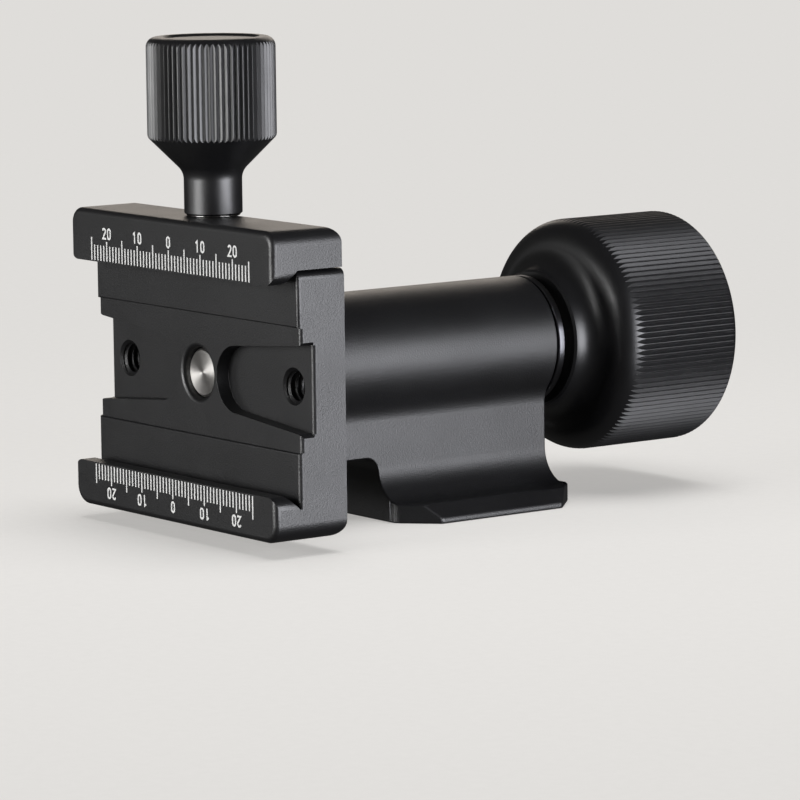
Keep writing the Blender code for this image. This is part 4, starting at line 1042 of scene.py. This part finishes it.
cut(small_knob, fluted_prism("small_flutes", SMALL_KNOB_RADIUS, SMALL_KNOB_FLUTE_DEPTH,
                             SMALL_KNOB_FLUTES, SMALL_KNOB_CREST, "Z", -OVERRUN, top + OVERRUN,
                             small_centre), "INTERSECT")
SCREW_KNOB_DEPTH = 14.0 * MM
hole = [(-OVERRUN, SCREW_SEAT), (SCREW_KNOB_DEPTH + SEAT_GAP, SCREW_SEAT)]
cut(small_knob, bored("knob_screw_seat", hole, "Z", small_centre, 64))

KNOB_GRAIN = 0.12 * MM

# Turned black anodised aluminium: smoother than the blasted parts, with tighter highlights.
turned_black = anodised_aluminium("turned_black_anodised_aluminium", 0.37, KNOB_GRAIN, 0.2)
finish_piece(small_knob, "small_knob", turned_black, ["clamp_knob"],
             smooth_deg=25.0)


# Clamp screw and its washer. An M6 screw is fixed in the small knob and pulls the moving
# jaw down onto the plate; a polished steel washer lets the knob turn on the jaw.
SCREW_RADIUS = 3.0 * MM
SCREW_ROOT = 2.45 * MM
SCREW_PITCH = 1.0 * MM
JAW_WASHER_RADIUS = 4.8 * MM
JAW_WASHER_EDGE = 0.12 * MM
JAW_WASHER_CLEARANCE = 0.05 * MM
axis_centre = Vector((0, clamp_front + SCREW_PLACE, 0))
low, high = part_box("clamp_screw")
clamp_screw = turned("clamp_screw_m6", [
    (low.z, 0),
    (low.z, SCREW_RADIUS - SCREW_PITCH / 2),
    (low.z + SCREW_PITCH / 2, SCREW_RADIUS),
    (high.z, SCREW_RADIUS),
    (high.z, 0),
], "Z", axis_centre, 72)
cut(clamp_screw, thread_cutter("screw_thread", "Z", axis_centre, SCREW_RADIUS + BORE_GAP,
                               SCREW_ROOT, SCREW_PITCH, low.z - SCREW_PITCH / 2, small_knob_base))

# Rolled and polished stainless steel: brighter lines of light on each crest of the thread.
screw_steel = turned_metal("screw_stainless_steel", "#a9a7a4", "#c4c2bf", 0.24, "Z", axis_centre)
finish_piece(clamp_screw, "small_knob", screw_steel, ["clamp_screw"])
low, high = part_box("clamp_knob_washer")
washer_foot = low.z - SEAT_GAP + JAW_WASHER_CLEARANCE
washer_top = small_knob_base + SMALL_NECK_FOOT - JAW_WASHER_CLEARANCE
profile = chamfered(washer_foot, washer_top, SCREW_RADIUS + SEAT_GAP, JAW_WASHER_RADIUS,
                    JAW_WASHER_EDGE)
jaw_washer = turned("jaw_washer_polished", profile, "Z", axis_centre)
finish_piece(jaw_washer, "small_knob", screw_steel, ["clamp_knob_washer"])


# Tilt shaft. Turned stainless steel: a polished spigot that shows in the clamp's middle, a
# flange let into the clamp's back, a ground journal, and an M8 thread for the large knob.
SPIGOT_RADIUS = 4.4 * MM
FLANGE_RADIUS = 8.0 * MM
SHAFT_RADIUS = 5.0 * MM
SHAFT_CHAMFER = 0.4 * MM
REAR_THREAD_RADIUS = 4.0 * MM
REAR_THREAD_ROOT = 3.35 * MM
REAR_THREAD_PITCH = 1.25 * MM
STOP_SCREW_SEAT = 2.65 * MM
STOP_SCREW_DEPTH = 9.25 * MM
low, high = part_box("tilt_shaft")
shaft_centre = Vector((0, 0, axis_z))
journal_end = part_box("tilt_knob")[0].y
flange_front = clamp_front + seat_y + SEAT_GAP
clamp_back = clamp_front + CLAMP_THICKNESS
shaft = turned("tilt_shaft_ground", [
    (low.y, 0),
    (low.y, SPIGOT_RADIUS - SHAFT_CHAMFER),
    (low.y + SHAFT_CHAMFER, SPIGOT_RADIUS),
    (flange_front, SPIGOT_RADIUS),
    (flange_front, FLANGE_RADIUS),
    (clamp_back, FLANGE_RADIUS),
    (clamp_back, SHAFT_RADIUS),
    (journal_end - SHAFT_CHAMFER, SHAFT_RADIUS),
    (journal_end, REAR_THREAD_RADIUS),
    (high.y, REAR_THREAD_RADIUS),
    (high.y, STOP_SCREW_SEAT),
    (high.y - STOP_SCREW_DEPTH, STOP_SCREW_SEAT),
    (high.y - STOP_SCREW_DEPTH, 0),
], "Y", shaft_centre)
cut(shaft, thread_cutter("shaft_thread", "Y", shaft_centre, REAR_THREAD_RADIUS + BORE_GAP,
                         REAR_THREAD_ROOT, REAR_THREAD_PITCH, journal_end + REAR_THREAD_PITCH,
                         high.y))
for side in (-1, 1):
    centre = clamp_origin + LINES["X"] * (side * DRIVE_PIN_PLACE)
    cut(shaft, bored("flange_hole", pin_seat, "Y", centre, 32))

# Faced stainless steel: the rings left by facing turn the light into a star on the disc.
shaft_steel = turned_metal("polished_stainless_steel", "#dad7d3", "#e2dfdb", 0.32, "Y",
                           shaft_centre, bump=0.6)
finish_piece(shaft, "clamp", shaft_steel, ["tilt_shaft"])


# Washers behind the tube. A ground, black-oxided steel thrust washer with a high gloss, and
# a dark acetal friction washer against the knob's hub.
def ring(name, front, rear, inner, outer, edge):
    """A washer on the shaft with its outer edges rounded."""
    profile = rounded([(front, inner), (front, outer, edge), (rear, outer, edge), (rear, inner)])
    return turned(name, profile, "Y", shaft_centre, 192)


RING_BORE = 5.25 * MM
REAR_WASHER_RADIUS = 12.0 * MM
REAR_WASHER_THICKNESS = 1.4 * MM
FRICTION_WASHER_RADIUS = 9.4 * MM
REAR_WASHER_ROUND = 0.35 * MM
FRICTION_WASHER_ROUND = 0.25 * MM
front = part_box("rear_thrust_washer")[0].y + BORE_GAP
rear = front + REAR_WASHER_THICKNESS
rear_washer = ring("thrust_washer_black", front, rear, RING_BORE, REAR_WASHER_RADIUS,
                   REAR_WASHER_ROUND)

# Black-oxided ground steel: a dark grey metal with a clear, narrow highlight on its edge.
black_steel = turned_metal("black_oxide_steel", "#68686c", "#747478", 0.32, "Y", shaft_centre)
finish_piece(rear_washer, "thrust_rings", black_steel, ["rear_thrust_washer"])
friction_washer = ring("friction_washer_acetal", rear + BORE_GAP, journal_end - BORE_GAP,
                       RING_BORE, FRICTION_WASHER_RADIUS, FRICTION_WASHER_ROUND)

CLOUD_SIZE = 1.0 * MM

# Moulded dark acetal: brownish, faintly cloudy and slightly waxy, with a soft highlight.
acetal, tree, place = new_material("dark_acetal")
cloud = add_node(tree, "ShaderNodeTexNoise", inputs={
    "Vector": place, "Scale": 1 / CLOUD_SIZE, "Detail": 4.0,
})
shade = add_node(tree, "ShaderNodeMix", {"data_type": "RGBA"}, {
    0: cloud.outputs[0], 6: linear("#1b1917"), 7: linear("#27241f"),
})
raised = add_node(tree, "ShaderNodeBump", inputs={
    "Strength": 0.2, "Distance": 0.01 * MM, "Height": cloud.outputs[0],
})
shader = add_node(tree, "ShaderNodeBsdfPrincipled", inputs={
    "Base Color": shade.outputs[2], "Roughness": 0.45, "Normal": raised.outputs[0],
})
add_node(tree, "ShaderNodeOutputMaterial", inputs={"Surface": shader.outputs[0]})
finish_piece(friction_washer, "thrust_rings", acetal, ["friction_washer"])


# Large knob. A turned bell: a small hub, a concave front that sweeps out, a rounded shoulder,
# and a rim with 128 V flutes that run out over the shoulder. It locks the tilt.
KNOB_RADIUS = 21.8 * MM
KNOB_LENGTH = 32.0 * MM
KNOB_FLUTES = 128
KNOB_FLUTE_DEPTH = 0.43 * MM
KNOB_CREST = 0.12 * MM
HUB_RADIUS = 12.8 * MM
HUB_CHAMFER = 0.4 * MM
BELL_ROUND = 4.2 * MM
SHOULDER_ROUND = 5.0 * MM
SHOULDER_DEPTH = 9.6 * MM
RIM_ROUND = 1.4 * MM
NUT_SEAT = 8.1 * MM
NUT_DEPTH = 14.5 * MM
KNOB_WEB = 3.0 * MM
WEB_HOLE = 4.25 * MM
KNOB_REAR_BORE = 9.5 * MM
CAP_CHAMFER = 0.4 * MM
KNOB_PROFILE_SEGMENTS = 256
knob_centre = Vector((0, journal_end, axis_z))
rim = KNOB_RADIUS / math.cos(math.pi / KNOB_PROFILE_SEGMENTS)
sweep = BELL_ROUND + SHOULDER_ROUND
lean = math.asin((BELL_ROUND + HUB_RADIUS + SHOULDER_ROUND - rim) / sweep)
bell_y = SHOULDER_DEPTH - sweep * math.cos(lean)
lean_deg = math.degrees(lean)
start_deg = math.degrees(math.acos((HUB_CHAMFER - bell_y) / BELL_ROUND))
bell = arc((HUB_RADIUS + BELL_ROUND, bell_y), BELL_ROUND, 90 + start_deg, 90 + lean_deg)
outside = [(0, 0), (bell[0].x - HUB_CHAMFER, 0)] + bell
outside += arc((rim - SHOULDER_ROUND, SHOULDER_DEPTH), SHOULDER_ROUND, lean_deg - 90, 0)[1:]
outside += arc((rim - RIM_ROUND, KNOB_LENGTH - RIM_ROUND), RIM_ROUND, 0, 90, 8)
outside += [(0, KNOB_LENGTH)]
profile = [(y, x) for x, y in outside]
large_knob = turned("large_fluted_knob", profile, "Y", knob_centre, KNOB_PROFILE_SEGMENTS)
cut(large_knob, fluted_prism("large_flutes", KNOB_RADIUS, KNOB_FLUTE_DEPTH, KNOB_FLUTES,
                             KNOB_CREST, "Y", -OVERRUN, KNOB_LENGTH + OVERRUN, knob_centre),
    "INTERSECT")
cut(large_knob, bored("knob_bores", [
    (-OVERRUN, NUT_SEAT),
    (NUT_DEPTH, NUT_SEAT),
    (NUT_DEPTH, WEB_HOLE),
    (NUT_DEPTH + KNOB_WEB, WEB_HOLE),
    (NUT_DEPTH + KNOB_WEB, KNOB_REAR_BORE),
    (KNOB_LENGTH - CAP_CHAMFER, KNOB_REAR_BORE),
    (KNOB_LENGTH, KNOB_REAR_BORE + CAP_CHAMFER),
    (KNOB_LENGTH + OVERRUN, KNOB_REAR_BORE + CAP_CHAMFER),
], "Y", knob_centre))
finish_piece(large_knob, "large_knob", turned_black, ["tilt_knob"],
             smooth_deg=25.0)


# End cap. A turned aluminium disc pressed into the large knob's rear bore.
low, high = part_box("knob_end_cap")
cap_radius = KNOB_REAR_BORE - SEAT_GAP
end_cap = turned("knob_cap", [
    (low.y, 0),
    (low.y, cap_radius),
    (high.y - CAP_CHAMFER, cap_radius),
    (high.y, cap_radius - CAP_CHAMFER),
    (high.y, 0),
], "Y", shaft_centre)
finish_piece(end_cap, "large_knob", turned_black, ["knob_end_cap"])


# Pieces inside the head. The bushes are sintered bronze, the front thrust washer acetal, and
# the drive pins, the knob's nut and its stop are steel. They keep their plain shapes.
PORE_SIZE = 0.15 * MM

# Sintered bearing bronze: dull, with fine dark pores that hold oil.
bronze, tree, place = new_material("sintered_bronze")
pores = add_node(tree, "ShaderNodeTexVoronoi", inputs={"Vector": place, "Scale": 1 / PORE_SIZE})
open_pore = add_node(tree, "ShaderNodeMapRange", inputs={
    "Value": pores.outputs["Distance"], 1: 0.1, 2: 0.35,
})
shade = add_node(tree, "ShaderNodeMix", {"data_type": "RGBA"}, {
    0: open_pore.outputs[0], 6: linear("#4a3320"), 7: linear("#a87c4c"),
})
raised = add_node(tree, "ShaderNodeBump", inputs={
    "Strength": 0.4, "Distance": 0.02 * MM, "Height": open_pore.outputs[0],
})
shader = add_node(tree, "ShaderNodeBsdfPrincipled", inputs={
    "Base Color": shade.outputs[2],
    "Metallic": 1.0,
    "Roughness": 0.5,
    "Normal": raised.outputs[0],
})
add_node(tree, "ShaderNodeOutputMaterial", inputs={"Surface": shader.outputs[0]})


def repaint(material, *names):
    """Gives CAD nodes that stay as they are a better material."""
    for name in names:
        for material_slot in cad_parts[name].material_slots:
            material_slot.material = material


repaint(bronze, "front_bush", "rear_bush")
repaint(acetal, "front_thrust_washer")
repaint(shaft_steel, "drive_pin_left", "drive_pin_right", "knob_thread_insert", "knob_stop_washer")
repaint(black_steel, "knob_stop_screw")

# Sizes.
low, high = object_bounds()
